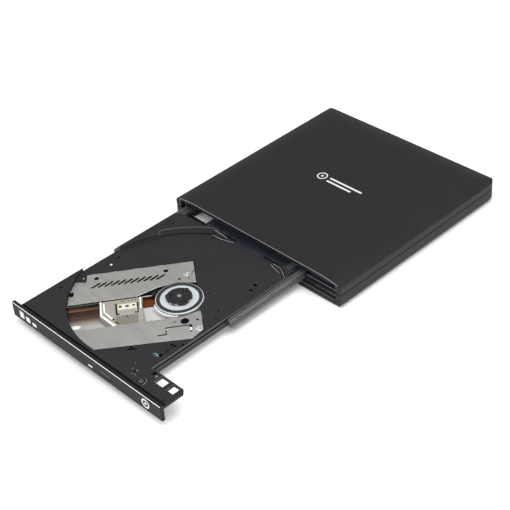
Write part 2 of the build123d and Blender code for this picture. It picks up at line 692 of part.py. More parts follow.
def make_lower_cover_plate():
    z = PLATE_Z[0]
    with BuildPart() as plate:
        with BuildSketch(PATH.offset(z)):
            with BuildLine():
                Polyline((-68.0, -16.5), (-9.0, -16.5), (0.0, -16.5), (10.9, -13.4), (10.9, -29.8),
                         (4.1, -36.1), (-51.4, -34.0), (-68.0, -34.0), close=True)
            make_face()
            Circle(TURNTABLE_R + 1.0, mode=Mode.SUBTRACT)
            with Locations((1.3, -20.5)):
                Circle(2.6, mode=Mode.SUBTRACT)
            with Locations((8.45, -20.7)):
                Circle(0.8, mode=Mode.SUBTRACT)
            with Locations((-4.4, -20.1)):
                Ellipse(1.3, 0.8, mode=Mode.SUBTRACT)
            # spring tongue cut out on three sides, with its narrow tail
            for middle, size in (((-2.6, -24.4), (14.2, 0.7)), ((4.4, -26.0), (1.4, 3.6)),
                                 ((-9.6, -27.2), (0.6, 5.8)), ((-11.9, -30.0), (5.0, 0.8))):
                with Locations(middle):
                    Rectangle(*size, mode=Mode.SUBTRACT)
        extrude(amount=PLATE_Z[1] - z)
        recess_body(PLATE_Z, -PLATE_FIT, Mode.INTERSECT)
    return plate


def make_plate_screws():
    """Two screws of the upper plate and the adjusting screw under the lower one."""
    with BuildPart() as screws:
        for s, t in PLATE_SCREW_SPOTS:
            rod(on_path(s, t), 1.4, (PLATE_Z[0], 10.5))
            rod(on_path(s, t), 0.55, (7.0, PLATE_Z[0]))
        rod(on_path(1.3, -20.5), 2.2, (10.1, 10.5))
        rod(on_path(1.3, -20.5), 0.7, (10.3, 10.7), Mode.SUBTRACT)
    return screws


def make_traverse_frame():
    low, high = FRAME_Z
    with BuildPart() as frame:
        prism(((-49, 31), (14, 31), (23, 22), (23, -10), (21, -17), (12, -25.4), (2, -33), (-45, -33),
               (-45, -26.4), (-59.5, -26.4), (-59.5, -18.6), (-57.5, -18.6), (-57.5, -25.4), (6.0, -25.4),
               (6.0, -20.6), (-8.0, -20.6), (-8.0, -18.6), (16.0, -18.6), (16.0, 10.6), (-13.6, 10.6),
               (-13.6, 7.6), (-15.6, 7.6), (-15.6, 10.6), (-71.6, 10.6), (-71.6, 7.6), (-73.6, 7.6),
               (-73.6, 13.0), (-49, 13.0)), FRAME_Z, base=PATH)
        # ears and holes for the rubber mounts
        prism(((-45, 30), (-36, 30), (-36.5, 40), (-44, 40)), FRAME_Z, base=PATH)
        prism(((-35, -32), (-25, -32), (-26.5, -43), (-33.5, -43)), FRAME_Z, base=PATH)
        # raised pads that carry the two cover plates
        prism(((-49, 13), (-18, 13), (9, 17.5), (9, 31), (-49, 31)), (high, PLATE_Z[0]), base=PATH)
        prism(((-45, -33), (2, -33), (5, -30), (5, -27), (-45, -27)), (high, PLATE_Z[0]), base=PATH)
        for s, t in DAMPER_SPOTS:
            rod(on_path(s, t), DAMPER_R + 0.05, (low - 1, high + 1), Mode.SUBTRACT)
        for t, s in ((UPPER_ROD_T, (-74.5, -12.0)), (LOWER_ROD_T, (-60.0, -6.0))):
            path_bar(s, t, ROD_Z, ROD_R, Mode.SUBTRACT)
        for s, t in PLATE_SCREW_SPOTS:
            rod(on_path(s, t), 0.55, (low - 1, PLATE_Z[0] + 1), Mode.SUBTRACT)
        rod(on_path(0, 0), 14.5, (low - 1, PLATE_Z[0] + 1), Mode.SUBTRACT)
        # openings that lighten the upper bar
        for s in (-40.0, -28.0, -16.0):
            path_block((s, s + 8), (16.5, 25.5), (low - 1, PLATE_Z[0] + 1), Mode.SUBTRACT)
    return frame


def make_rubber_dampers():
    with BuildPart() as dampers:
        for s, t in DAMPER_SPOTS:
            rod(on_path(s, t), DAMPER_R, (UNDER_Z[1], RECESS_Z[0]))
            rod(on_path(s, t), 0.9, (UNDER_Z[1], RECESS_Z[0]), Mode.SUBTRACT)
    return dampers


def make_guide_rods():
    with BuildPart() as rods:
        path_bar((-73.6, -13.6), UPPER_ROD_T, ROD_Z, ROD_R)
        path_bar((-59.5, -6.0), LOWER_ROD_T, ROD_Z, ROD_R)
    return rods


def make_sled_motor():
    with BuildPart() as motor:
        path_bar((-9.8, 4.0), SCREW_T, ROD_Z, 2.2)
        path_block((-9.8, 4.0), (SCREW_T - 1, SCREW_T + 1), (UNDER_Z[1], 6.2))
        path_block((4.0, 5.2), (SCREW_T - 1.6, SCREW_T + 1.6), (6.4, 9.0))
    return motor


def make_screw_bracket():
    low = UNDER_Z[1]
    with BuildPart() as bracket:
        path_block((-56.8, -9.9), (-25.1, -21.3), (low, low + 0.4))
        for s in (-56.8, -11.6):
            path_block((s, s + 0.6), (-25.1, -21.3), (low, 9.4))
        path_bar((-58, -9), SCREW_T, ROD_Z, SCREW_R + RUN_FIT, Mode.SUBTRACT)
    return bracket


def make_lead_screw():
    """Screw shown with ring grooves in place of its helix."""
    with BuildPart() as screw:
        path_bar((-57.0, -10.2), SCREW_T, ROD_Z, SCREW_R)
        for i in range(13):
            s = -53.0 + 3.0 * i
            groove = Plane(origin=(*on_path(s, SCREW_T), ROD_Z), z_dir=PATH.x_dir)
            with BuildSketch(groove) as ring:
                Circle(SCREW_R + 0.2)
                Circle(SCREW_R - 0.2, mode=Mode.SUBTRACT)
            extrude(ring.sketch, amount=0.6, mode=Mode.SUBTRACT)
    return screw


def make_spindle_base():
    centre = (SPINDLE_X, SPINDLE_Y)
    with BuildPart() as base:
        rod(centre, 13.0, (UNDER_Z[1], 6.1))
        path_block((0, 14.5), (-5, 5), (UNDER_Z[1], 6.1))
        path_block((-24, 0), (-16.5, 1.2), (UNDER_Z[1], 6.0))
        rod(centre, 2.6, (6.1, 8.8))
        rod(centre, 1.05, (UNDER_Z[1], 9.6), Mode.SUBTRACT)
    return base


def make_stator():
    centre = (SPINDLE_X, SPINDLE_Y)
    with BuildPart() as stator:
        rod(centre, 5.0, (6.3, 8.7))
        with BuildSketch(PATH.offset(6.9)) as teeth:
            with PolarLocations(7.8, 9):
                Rectangle(6.4, 2.6)
            with PolarLocations(11.2, 9):
                Rectangle(1.6, 5.6)
        extrude(teeth.sketch, amount=1.7)
        rod(centre, 2.6, (6, 9.5), Mode.SUBTRACT)
    return stator


def make_rotor():
    centre = (SPINDLE_X, SPINDLE_Y)
    with BuildPart() as rotor:
        rod(centre, 13.4, (6.6, TURNTABLE_Z[0]))
        rod(centre, 12.8, (6.5, 9.2), Mode.SUBTRACT)
        rod(centre, 1.0, (6, 11), Mode.SUBTRACT)
        fillet(rotor.edges().group_by(Axis.Z)[-1].sort_by(SortBy.RADIUS)[-1], 0.4)
    return rotor


def make_spindle_shaft():
    centre = (SPINDLE_X, SPINDLE_Y)
    with BuildPart() as shaft:
        rod(centre, 1.0, (5.7, HUB_TOP))
        rod(centre, 1.25, (HUB_TOP, HUB_TOP + 0.15))
    return shaft


def make_turntable():
    centre = (SPINDLE_X, SPINDLE_Y)
    low, high = TURNTABLE_Z
    with BuildPart() as table:
        rod(centre, TURNTABLE_R, TURNTABLE_Z)
        fillet(table.edges().group_by(Axis.Z)[-1], 0.3)
        with BuildSketch(Plane.XY.offset(high - 0.4)) as seat:
            with Locations(centre):
                Circle(SEAT_R[1])
                Circle(SEAT_R[0], mode=Mode.SUBTRACT)
        extrude(seat.sketch, amount=1.0, mode=Mode.SUBTRACT)
        rod(centre, 1.0, (low - 1, high + 1), Mode.SUBTRACT)
    return table


def make_friction_ring():
    with BuildPart() as ring:
        with BuildSketch(Plane.XY.offset(TURNTABLE_Z[1] - 0.4)):
            with Locations((SPINDLE_X, SPINDLE_Y)):
                Circle(SEAT_R[1])
                Circle(SEAT_R[0], mode=Mode.SUBTRACT)
        extrude(amount=0.6)
    return ring


def spoke(angle):
    """A plan plane at the spindle whose x axis points along an angle in degrees."""
    return Plane(
        origin=(SPINDLE_X, SPINDLE_Y, 0), x_dir=(cos(radians(angle)), sin(radians(angle)), 0),
        z_dir=(0, 0, 1))


def make_hub_cap():
    centre = (SPINDLE_X, SPINDLE_Y)
    with BuildPart() as hub:
        rod(centre, HUB_R, (TURNTABLE_Z[1], HUB_TOP))
        fillet(hub.edges().group_by(Axis.Z)[-1], 0.45)
        rod(centre, 1.0, (10, 14), Mode.SUBTRACT)
        slot = ((4.6, -1.9), (9, -1.9), (9, 1.9), (4.6, 1.9))
        for angle in CLAW_ANGLES:
            prism(slot, (HUB_TOP - 1.2, 14), Mode.SUBTRACT, spoke(angle))
        with BuildSketch(Plane.XY.offset(HUB_TOP - 0.3)) as dish:
            with Locations(centre):
                with PolarLocations(5.6, 3, start_angle=CLAW_ANGLES[0] + 60):
                    SlotOverall(2.6, 1.3, rotation=90)
        extrude(dish.sketch, amount=1, mode=Mode.SUBTRACT)
    return hub


def make_claw(angle):
    with BuildPart() as claw:
        outline = ((5.3, -1.6), (7.3, -1.6), (8.0, -0.9), (8.0, 0.9), (7.3, 1.6), (5.3, 1.6))
        prism(outline, (HUB_TOP - 0.9, HUB_TOP - 0.15), base=spoke(angle))
    return claw


def make_pickup_sled():
    low, high = 6.3, 9.4
    with BuildPart() as sled:
        outline = ((-45.7, 7.0), (-21.0, 7.0), (-21.0, -17.0), (-38.3, -17.0), (-45.7, -6.5))
        prism(outline, (low, high), base=PATH)
        # lugs on the two guide rods, and the arm to the screw nut
        for s in (-43.8, -27.5):
            path_block((s, s + 4.3), (6.9, 10.2), (low, 9.2))
        path_block((-30.0, -25.0), (-20.9, -16.9), (low, 9.2))
        path_bar((-46, -22), UPPER_ROD_T, ROD_Z, ROD_R + RUN_FIT, Mode.SUBTRACT)
        path_bar((-31, -24), LOWER_ROD_T, ROD_Z, ROD_R + RUN_FIT, Mode.SUBTRACT)
        with BuildSketch(PATH.offset(low - 1)) as bite:
            with Locations((-6.5, 0)):
                Circle(15.0)
        extrude(bite.sketch, amount=6, mode=Mode.SUBTRACT)
        path_block((LENS_S - 6.0, LENS_S + 6.0), (-7.4, 2.6), (7.4, high + 1), Mode.SUBTRACT)
    return sled


def make_sled_nut():
    with BuildPart() as nut:
        path_block((-28.5, -25.2), (-24.4, -20.9), (6.3, 9.2))
        path_bar((-30, -24), SCREW_T, ROD_Z, SCREW_R + RUN_FIT, Mode.SUBTRACT)
    return nut


def make_pickup_cover():
    high = 10.0
    with BuildPart() as cover:
        outline = ((-45.4, 6.6), (-21.4, 6.6), (-21.4, -16.6), (-38.0, -16.6), (-45.4, -6.2))
        prism(outline, (9.4, high), base=PATH)
        with BuildSketch(PATH.offset(9)) as bite:
            with Locations((-6.5, 0)):
                Circle(15.4)
        extrude(bite.sketch, amount=2, mode=Mode.SUBTRACT)
        path_block((LENS_S - 6.0, LENS_S + 6.0), (-7.4, 2.6), (9, 11), Mode.SUBTRACT)
        # stepped margin
        margin = ((-43.2, 5.0), (-37.2, 5.0), (-37.2, -8.6), (-39.6, -12.0), (-43.2, -6.8))
        prism(margin, (9.8, 10.1), Mode.SUBTRACT, PATH)
    return cover


def make_actuator_cover():
    with BuildPart() as cover:
        outline = ((-36.6, -8.0), (-24.2, -8.0), (-24.2, -15.4), (-35.4, -15.4), (-37.0, -13.2))
        prism(outline, (10.0, 10.15), base=PATH)
    return cover


def make_lens_holder():
    with BuildPart() as holder:
        path_block((LENS_S - 5.6, LENS_S + 5.6), (-7.0, 2.2), (8.2, 10.0))
        path_block((LENS_S - 5.2, LENS_S + 5.2), (-1.9, 2.0), (10.0, 10.4))
        for s, radius in ((LENS_S - 3.9, 0.7), (LENS_S + 3.9, 0.7), (LENS_S, 1.25)):
            rod(on_path(s, 0.0), radius, (9.2, 11), Mode.SUBTRACT)
    return holder


def make_objective_lens():
    with BuildPart() as lens:
        rod(on_path(LENS_S, 0.0), 1.25, (9.2, 10.2))
        fillet(lens.edges().group_by(Axis.Z)[-1], 0.25)
    return lens


def make_pickup_flex():
    """Flat cable along the bottom of the pickup's channel."""
    with BuildPart() as flex:
        path_block((-62.0, -14.5), (1.5, 6.8), (UNDER_Z[1], UNDER_Z[1] + 0.15))
    return flex


# ---------------------------------------------------------------- latch
def make_latch_hook():
    """Hook drawn engaged, then turned back to its released rest."""
    with BuildPart() as hook:
        prism(((31.3, -131.0), (33.1, -131.0), (33.1, -122.6), (35.0, -122.6), (35.0, -121.9),
               (34.2, -121.0), (31.6, -121.0)), (5.9, 7.2))
        rod(LATCH_PIVOT, 1.7, (5.9, 7.2))
        rod(LATCH_PIVOT, 0.85, (5, 8), Mode.SUBTRACT)
    released = hook.part.rotate(Axis((*LATCH_PIVOT, 0), (0, 0, 1)), LATCH_SWING)
    with BuildPart() as turned:
        add(released)
    return turned


def make_latch_pivot():
    with BuildPart() as pin:
        rod(LATCH_PIVOT, 0.8, (UNDER_Z[1], 8.4))
        rod(LATCH_PIVOT, 1.2, (7.5, 8.4))
    return pin


# ---------------------------------------------------------------- all pieces
PIECES = {
    "top_shell": make_top_shell,
    "bottom_shell": make_bottom_shell,
    "rubber_feet": make_rubber_feet,
    "shell_screws": make_shell_screws,
    "drive_pan": make_drive_pan,
    "drive_cover": make_drive_cover,
    "drive_screws": make_drive_screws,
    "drive_cushions": make_drive_cushions,
    "pan_film": make_pan_film,
    "side_shelf": make_side_shelf,
    "main_board": make_main_board,
    "board_chips": make_board_chips,
    "flex_socket": make_flex_socket,
    "flex_cable": make_flex_cable,
    "drive_plug": make_drive_plug,
    "bridge_socket": make_bridge_socket,
    "bridge_board": make_bridge_board,
    "usb_socket": make_usb_socket,
    "usb_tongue": make_usb_tongue,
    "latch_post": make_latch_post,
    "left_guide": lambda: make_guide(-1),
    "right_guide": lambda: make_guide(1),
    "left_rail": lambda: make_rail(-1),
    "right_rail": lambda: make_rail(1),
    "tray_deck": make_tray_deck,
    "deck_screws": make_deck_screws,
    "front_bezel": make_front_bezel,
    "eject_button": make_eject_button,
    "indicator_lens": make_indicator_lens,
    "button_board": make_button_board,
    "eject_switch": make_eject_switch,
    "tray_under_cover": make_tray_under_cover,
    "upper_cover_plate": make_upper_cover_plate,
    "lower_cover_plate": make_lower_cover_plate,
    "plate_screws": make_plate_screws,
    "traverse_frame": make_traverse_frame,
    "rubber_dampers": make_rubber_dampers,
    "guide_rods": make_guide_rods,
    "sled_motor": make_sled_motor,
    "screw_bracket": make_screw_bracket,
    "lead_screw": make_lead_screw,
    "spindle_base": make_spindle_base,
    "stator": make_stator,
    "rotor": make_rotor,
    "spindle_shaft": make_spindle_shaft,
    "turntable": make_turntable,
    "friction_ring": make_friction_ring,
    "hub_cap": make_hub_cap,
    "claw_1": lambda: make_claw(CLAW_ANGLES[0]),
    "claw_2": lambda: make_claw(CLAW_ANGLES[1]),
    "claw_3": lambda: make_claw(CLAW_ANGLES[2]),
    "pickup_sled": make_pickup_sled,
    "sled_nut": make_sled_nut,
    "pickup_cover": make_pickup_cover,
    "actuator_cover": make_actuator_cover,
    "pickup_flex": make_pickup_flex,
    "lens_holder": make_lens_holder,
    "objective_lens": make_objective_lens,
    "latch_hook": make_latch_hook,
    "latch_pivot": make_latch_pivot,
}

os.makedirs("parts", exist_ok=True)
for name, make in PIECES.items():
    piece = make()
    piece.part.label = name
    export_step(piece.part, f"parts/{name}.step")
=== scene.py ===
"""Looks of the external optical drive: case, slim drive, open tray and pickup unit."""

import json
from math import cos, pi, radians, sin, sqrt

import bmesh
import bpy
from mathutils import Matrix, Vector


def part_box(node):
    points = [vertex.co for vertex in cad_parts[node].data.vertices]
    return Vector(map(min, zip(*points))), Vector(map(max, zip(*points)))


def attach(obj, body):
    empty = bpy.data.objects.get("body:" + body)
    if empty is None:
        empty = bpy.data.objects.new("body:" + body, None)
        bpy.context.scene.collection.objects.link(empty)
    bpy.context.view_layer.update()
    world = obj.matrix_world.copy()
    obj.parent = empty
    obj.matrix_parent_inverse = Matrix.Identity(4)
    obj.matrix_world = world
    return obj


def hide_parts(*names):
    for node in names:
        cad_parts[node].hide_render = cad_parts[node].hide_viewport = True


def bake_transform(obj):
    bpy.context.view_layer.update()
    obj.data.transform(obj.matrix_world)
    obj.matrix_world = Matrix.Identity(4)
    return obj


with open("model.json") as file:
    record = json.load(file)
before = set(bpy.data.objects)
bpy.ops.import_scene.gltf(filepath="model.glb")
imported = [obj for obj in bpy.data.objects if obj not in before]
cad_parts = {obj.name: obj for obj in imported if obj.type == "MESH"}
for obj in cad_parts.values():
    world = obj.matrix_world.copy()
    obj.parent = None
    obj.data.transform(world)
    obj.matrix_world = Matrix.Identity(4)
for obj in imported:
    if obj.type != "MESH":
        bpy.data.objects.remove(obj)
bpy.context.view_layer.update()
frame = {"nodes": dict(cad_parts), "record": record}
NODES = frame["nodes"]
JOINTS = {joint["name"]: joint for joint in frame["record"]["behaviour"]["joints"]}
MM = 0.001

# places that the rest is measured from
SPINDLE = Vector(JOINTS["spindle_spin"]["pos_m"])
ALONG = Vector(JOINTS["sled_slide"]["axis"])
ACROSS = Vector((-ALONG.y, ALONG.x, 0))
CASE_LOW, CASE_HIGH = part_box("top_shell")
BEZEL_LOW, BEZEL_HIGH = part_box("front_bezel")
DECK_LOW, DECK_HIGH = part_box("tray_deck")
PLATE_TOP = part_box("upper_cover_plate")[1].z
FLOOR_TOP = PLATE_TOP + 0.2 * MM          # floor of the disc recess
UNDER_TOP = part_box("pickup_flex")[0].z
RING_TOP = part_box("turntable")[1].z
FILM_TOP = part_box("pan_film")[1].z

# the sloping part of the recess wall, at the back left of the tray
RECESS_RADIUS = 61.7 * MM
SLOPE_LEAN = 3.4 * MM                     # how far the wall leans out at its top
SLOPE_TURN = radians(130)                 # which way it leans
SLOPE_START, SLOPE_SWEEP = 118, 31.5      # degrees round the spindle
SLOPE_ANGLES = range(SLOPE_START, 151, 2)

# heights of printed and flat pieces over and under the face they lie on
PRINT = 0.02 * MM


def on_path(s, t, z):
    """A point from its distances in mm along and across the pickup's path, and its height in metres."""
    point = SPINDLE + ALONG * s * MM + ACROSS * t * MM
    return Vector((point.x, point.y, z))


# ---------------------------------------------------------------- camera, light, floor
LIT_PLACE = Vector((0, -0.02, 0))


def add_camera():
    """The view that the photo's own straight edges and circles give."""
    turn, tilt, roll = radians(48.94), radians(37.10), radians(-5.26)
    place, focal_length, sensor = (0.45449, -0.40198, 0.45991), 89.22, 36
    forward = Vector((-sin(turn) * cos(tilt), cos(turn) * cos(tilt), -sin(tilt)))
    right = Vector((cos(turn), sin(turn), 0))
    up = right.cross(forward)
    across = right * cos(roll) + up * sin(roll)
    upward = up * cos(roll) - right * sin(roll)
    data = bpy.data.cameras.new("camera")
    data.sensor_width = sensor
    data.lens = focal_length
    data.clip_start = 0.01
    camera = bpy.data.objects.new("camera", data)
    matrix = Matrix((across, upward, -forward)).transposed().to_4x4()
    matrix.translation = Vector(place)
    camera.matrix_world = matrix
    bpy.context.scene.collection.objects.link(camera)
    bpy.context.scene.camera = camera


def add_light(name, place, size, power):
    """A soft rectangular lamp that looks at the middle of the object."""
    data = bpy.data.lights.new(name, "AREA")
    data.shape = "RECTANGLE"
    data.size, data.size_y = size
    data.energy = power
    lamp = bpy.data.objects.new(name, data)
    lamp.location = place
    lamp.rotation_euler = (LIT_PLACE - Vector(place)).to_track_quat("-Z", "Y").to_euler()
    bpy.context.scene.collection.objects.link(lamp)


def add_studio():
    world = bpy.data.worlds.new("studio")
    bpy.context.scene.world = world
    world.use_nodes = True
    background = world.node_tree.nodes["Background"]
    background.inputs["Color"].default_value = (0.95, 0.97, 1.0, 1)
    background.inputs["Strength"].default_value = 0.42
    add_light("overhead", (0.25, -0.15, 1.3), (1.3, 1.3), 20)
    add_light("front_left", (-0.9, -0.95, 0.8), (0.9, 0.7), 7)
    add_light("right", (1.25, 0.05, 0.32), (0.8, 0.4), 14)
    bpy.context.scene.view_settings.view_transform = "Standard"
    bpy.ops.mesh.primitive_circle_add(
        vertices=96, radius=4.0, fill_type="NGON", location=(0, 0, -0.05 * MM))
    floor = bpy.context.object
    floor.name = "floor"
    floor.data.materials.append(plain_floor())


# ---------------------------------------------------------------- materials
def new_material(name):
    material = bpy.data.materials.new(name)
    material.use_nodes = True
    return material, material.node_tree, material.node_tree.nodes["Principled BSDF"]


def noise(tree, scale, detail=3.0, roughness=0.55):
    place = tree.nodes.new("ShaderNodeTexCoord")
    node = tree.nodes.new("ShaderNodeTexNoise")
    node.inputs["Scale"].default_value = scale
    node.inputs["Detail"].default_value = detail
    node.inputs["Roughness"].default_value = roughness
    tree.links.new(place.outputs["Object"], node.inputs["Vector"])
    return node.outputs["Fac"]


def ramp(tree, source, stops):
    node = tree.nodes.new("ShaderNodeValToRGB")
    elements = node.color_ramp.elements
    while len(elements) < len(stops):
        elements.new(0.5)
    for element, (position, colour) in zip(elements, stops):
        element.position = position
        element.color = (*colour, 1)
    tree.links.new(source, node.inputs["Fac"])
    return node.outputs["Color"]


def spread(tree, source, low, high):
    node = tree.nodes.new("ShaderNodeMapRange")
    node.inputs["From Min"].default_value = 0.3
    node.inputs["From Max"].default_value = 0.7
    node.inputs["To Min"].default_value = low
    node.inputs["To Max"].default_value = high
    tree.links.new(source, node.inputs["Value"])
    return node.outputs["Result"]


def scaled(colour, factor):
    return tuple(min(1.0, channel * factor) for channel in colour)


def edge_mask(tree, radius):
    """How far the rounded normal turns from the flat one: 0 on faces and up to 1 at edges."""
    rounded = tree.nodes.new("ShaderNodeBevel")
    rounded.samples = 6
    rounded.inputs["Radius"].default_value = radius
    flat = tree.nodes.new("ShaderNodeNewGeometry")
    product = tree.nodes.new("ShaderNodeVectorMath")
    product.operation = "DOT_PRODUCT"
    tree.links.new(rounded.outputs["Normal"], product.inputs[0])
    tree.links.new(flat.outputs["Normal"], product.inputs[1])
    mask = tree.nodes.new("ShaderNodeMapRange")
    mask.inputs["From Min"].default_value = 0.995
    mask.inputs["From Max"].default_value = 0.85
    tree.links.new(product.outputs["Value"], mask.inputs["Value"])
    return mask.outputs["Result"], rounded.outputs["Normal"]


def paler_edges(tree, shader, tone, mask, colour):
    """The tone as base colour, and another colour where the mask says that an edge is."""
    mix = tree.nodes.new("ShaderNodeMix")
    mix.data_type = "RGBA"
    mix.inputs["B"].default_value = (*colour, 1)
    tree.links.new(mask, mix.inputs["Factor"])
    tree.links.new(tone, mix.inputs["A"])
    tree.links.new(mix.outputs["Result"], shader.inputs["Base Color"])


def relief(tree, shader, source, strength, depth, normal=None):
    """Bump from a value, its depth in mm, over a normal if one is given."""
    bump = tree.nodes.new("ShaderNodeBump")
    bump.inputs["Strength"].default_value = strength
    bump.inputs["Distance"].default_value = depth * MM
    tree.links.new(source, bump.inputs["Height"])
    if normal:
        tree.links.new(normal, bump.inputs["Normal"])
    tree.links.new(bump.outputs["Normal"], shader.inputs["Normal"])


def finish(name, colour, rough, grain=1500, bump=0.25, uneven=0.12, edge=0.25, edge_sheen_and_wear=1.6,
           metallic=0.0, specular=0.5, coat=0.0):
    """A moulded or sheet surface.

    It has fine grain, uneven tone and gloss, and slightly rounded edges painted paler, partly as a
    highlight and partly as wear. The edge is in mm.
    """
    material, tree, shader = new_material(name)
    shader.inputs["Metallic"].default_value = metallic
    shader.inputs["Specular IOR Level"].default_value = specular
    shader.inputs["Coat Weight"].default_value = coat
    shader.inputs["Coat Roughness"].default_value = 0.15
    stops = [(0.3, scaled(colour, 1 - uneven)), (0.7, scaled(colour, 1 + uneven))]
    tone = ramp(tree, noise(tree, 45), stops)
    mask, rounded = edge_mask(tree, edge * MM)
    # edges painted paler: a painted highlight along them, and partly wear
    paler_edges(tree, shader, tone, mask, scaled(colour, edge_sheen_and_wear))
    fine = noise(tree, grain, 2.0)
    tree.links.new(spread(tree, fine, rough * 0.88, rough * 1.12), shader.inputs["Roughness"])
    relief(tree, shader, fine, bump, 0.04, rounded)
    return material


def brushed(name, colour, rough, turn):
    """Rolled sheet metal: long fine streaks along one direction over a soft cloud of tone."""
    material, tree, shader = new_material(name)
    shader.inputs["Metallic"].default_value = 1.0
    place = tree.nodes.new("ShaderNodeTexCoord")
    stretch = tree.nodes.new("ShaderNodeMapping")
    stretch.inputs["Rotation"].default_value = (0, 0, -turn)
    stretch.inputs["Scale"].default_value = (40, 1800, 1800)
    tree.links.new(place.outputs["Object"], stretch.inputs["Vector"])
    streaks = tree.nodes.new("ShaderNodeTexNoise")
    streaks.inputs["Scale"].default_value = 1.0
    streaks.inputs["Detail"].default_value = 2.0
    tree.links.new(stretch.outputs["Vector"], streaks.inputs["Vector"])
    tone = ramp(tree, noise(tree, 60), [(0.3, scaled(colour, 0.93)), (0.7, scaled(colour, 1.06))])
    mask, rounded = edge_mask(tree, 0.15 * MM)
    # edges painted paler: a painted highlight along them, and partly wear
    paler_edges(tree, shader, tone, mask, scaled(colour, 1.3))
    streak = streaks.outputs["Fac"]
    tree.links.new(spread(tree, streak, rough * 0.85, rough * 1.2), shader.inputs["Roughness"])
    relief(tree, shader, streak, 0.15, 0.01, rounded)
    return material


def banded(name, stops, low, high, rough, coat):
    """A film whose tone runs across the pickup's path, from t = low to t = high in mm."""
    material, tree, shader = new_material(name)
    shader.inputs["Coat Weight"].default_value = coat
    shader.inputs["Coat Roughness"].default_value = 0.12
    place = tree.nodes.new("ShaderNodeTexCoord")
    across = tree.nodes.new("ShaderNodeVectorMath")
    across.operation = "DOT_PRODUCT"
    across.inputs[1].default_value = ACROSS
    tree.links.new(place.outputs["Object"], across.inputs[0])
    start = SPINDLE.dot(ACROSS)
    position = tree.nodes.new("ShaderNodeMapRange")
    position.inputs["From Min"].default_value = start + low * MM
    position.inputs["From Max"].default_value = start + high * MM
    tree.links.new(across.outputs["Value"], position.inputs["Value"])
    tree.links.new(ramp(tree, position.outputs["Result"], stops), shader.inputs["Base Color"])
    cloud = noise(tree, 260)
    tree.links.new(spread(tree, cloud, rough * 0.7, rough * 1.3), shader.inputs["Roughness"])
    relief(tree, shader, cloud, 0.3, 0.15)
    return material


def circuit_board(name):
    """Green solder mask with faint copper tracks under it."""
    material, tree, shader = new_material(name)
    shader.inputs["Coat Weight"].default_value = 0.5
    shader.inputs["Coat Roughness"].default_value = 0.2
    place = tree.nodes.new("ShaderNodeTexCoord")
    tracks = tree.nodes.new("ShaderNodeTexBrick")
    tracks.inputs["Scale"].default_value = 260
    tracks.inputs["Color1"].default_value = (0.02, 0.13, 0.06, 1)
    tracks.inputs["Color2"].default_value = (0.015, 0.10, 0.045, 1)
    tracks.inputs["Mortar"].default_value = (0.05, 0.2, 0.09, 1)
    tree.links.new(place.outputs["Object"], tracks.inputs["Vector"])
    tree.links.new(tracks.outputs["Color"], shader.inputs["Base Color"])
    tree.links.new(spread(tree, noise(tree, 900), 0.3, 0.42), shader.inputs["Roughness"])
    return material


def coated_lens():
    material, tree, shader = new_material("coated_lens")
    shader.inputs["Coat Weight"].default_value = 1.0
    shader.inputs["IOR"].default_value = 1.6
    facing = tree.nodes.new("ShaderNodeLayerWeight")
    facing.inputs["Blend"].default_value = 0.4
    stops = [(0.0, (0.01, 0.02, 0.10)), (0.5, (0.05, 0.10, 0.30)), (1.0, (0.25, 0.16, 0.40))]
    tree.links.new(ramp(tree, facing.outputs["Facing"], stops), shader.inputs["Base Color"])
    tree.links.new(spread(tree, noise(tree, 500), 0.03, 0.07), shader.inputs["Roughness"])
    return material


def oily_spot():
    """A dark plate with blue, green and amber patches, as on a reflective sensor window."""
    material, tree, shader = new_material("oily_spot")
    shader.inputs["Metallic"].default_value = 0.7
    shader.inputs["Coat Weight"].default_value = 0.8
    stops = [(0.3, (0.02, 0.02, 0.03)), (0.44, (0.25, 0.08, 0.05)), (0.52, (0.03, 0.35, 0.25)),
             (0.6, (0.2, 0.75, 0.95)), (0.75, (0.05, 0.1, 0.45))]
    tree.links.new(ramp(tree, noise(tree, 420, 1.0), stops), shader.inputs["Base Color"])
    tree.links.new(spread(tree, noise(tree, 900), 0.1, 0.2), shader.inputs["Roughness"])
    return material


def plain_floor():
    material, tree, shader = new_material("plain_floor")
    stops = [(0.3, (0.86, 0.86, 0.865)), (0.7, (0.89, 0.89, 0.89))]
    tree.links.new(ramp(tree, noise(tree, 3), stops), shader.inputs["Base Color"])
    tree.links.new(spread(tree, noise(tree, 40), 0.7, 0.8), shader.inputs["Roughness"])
    return material


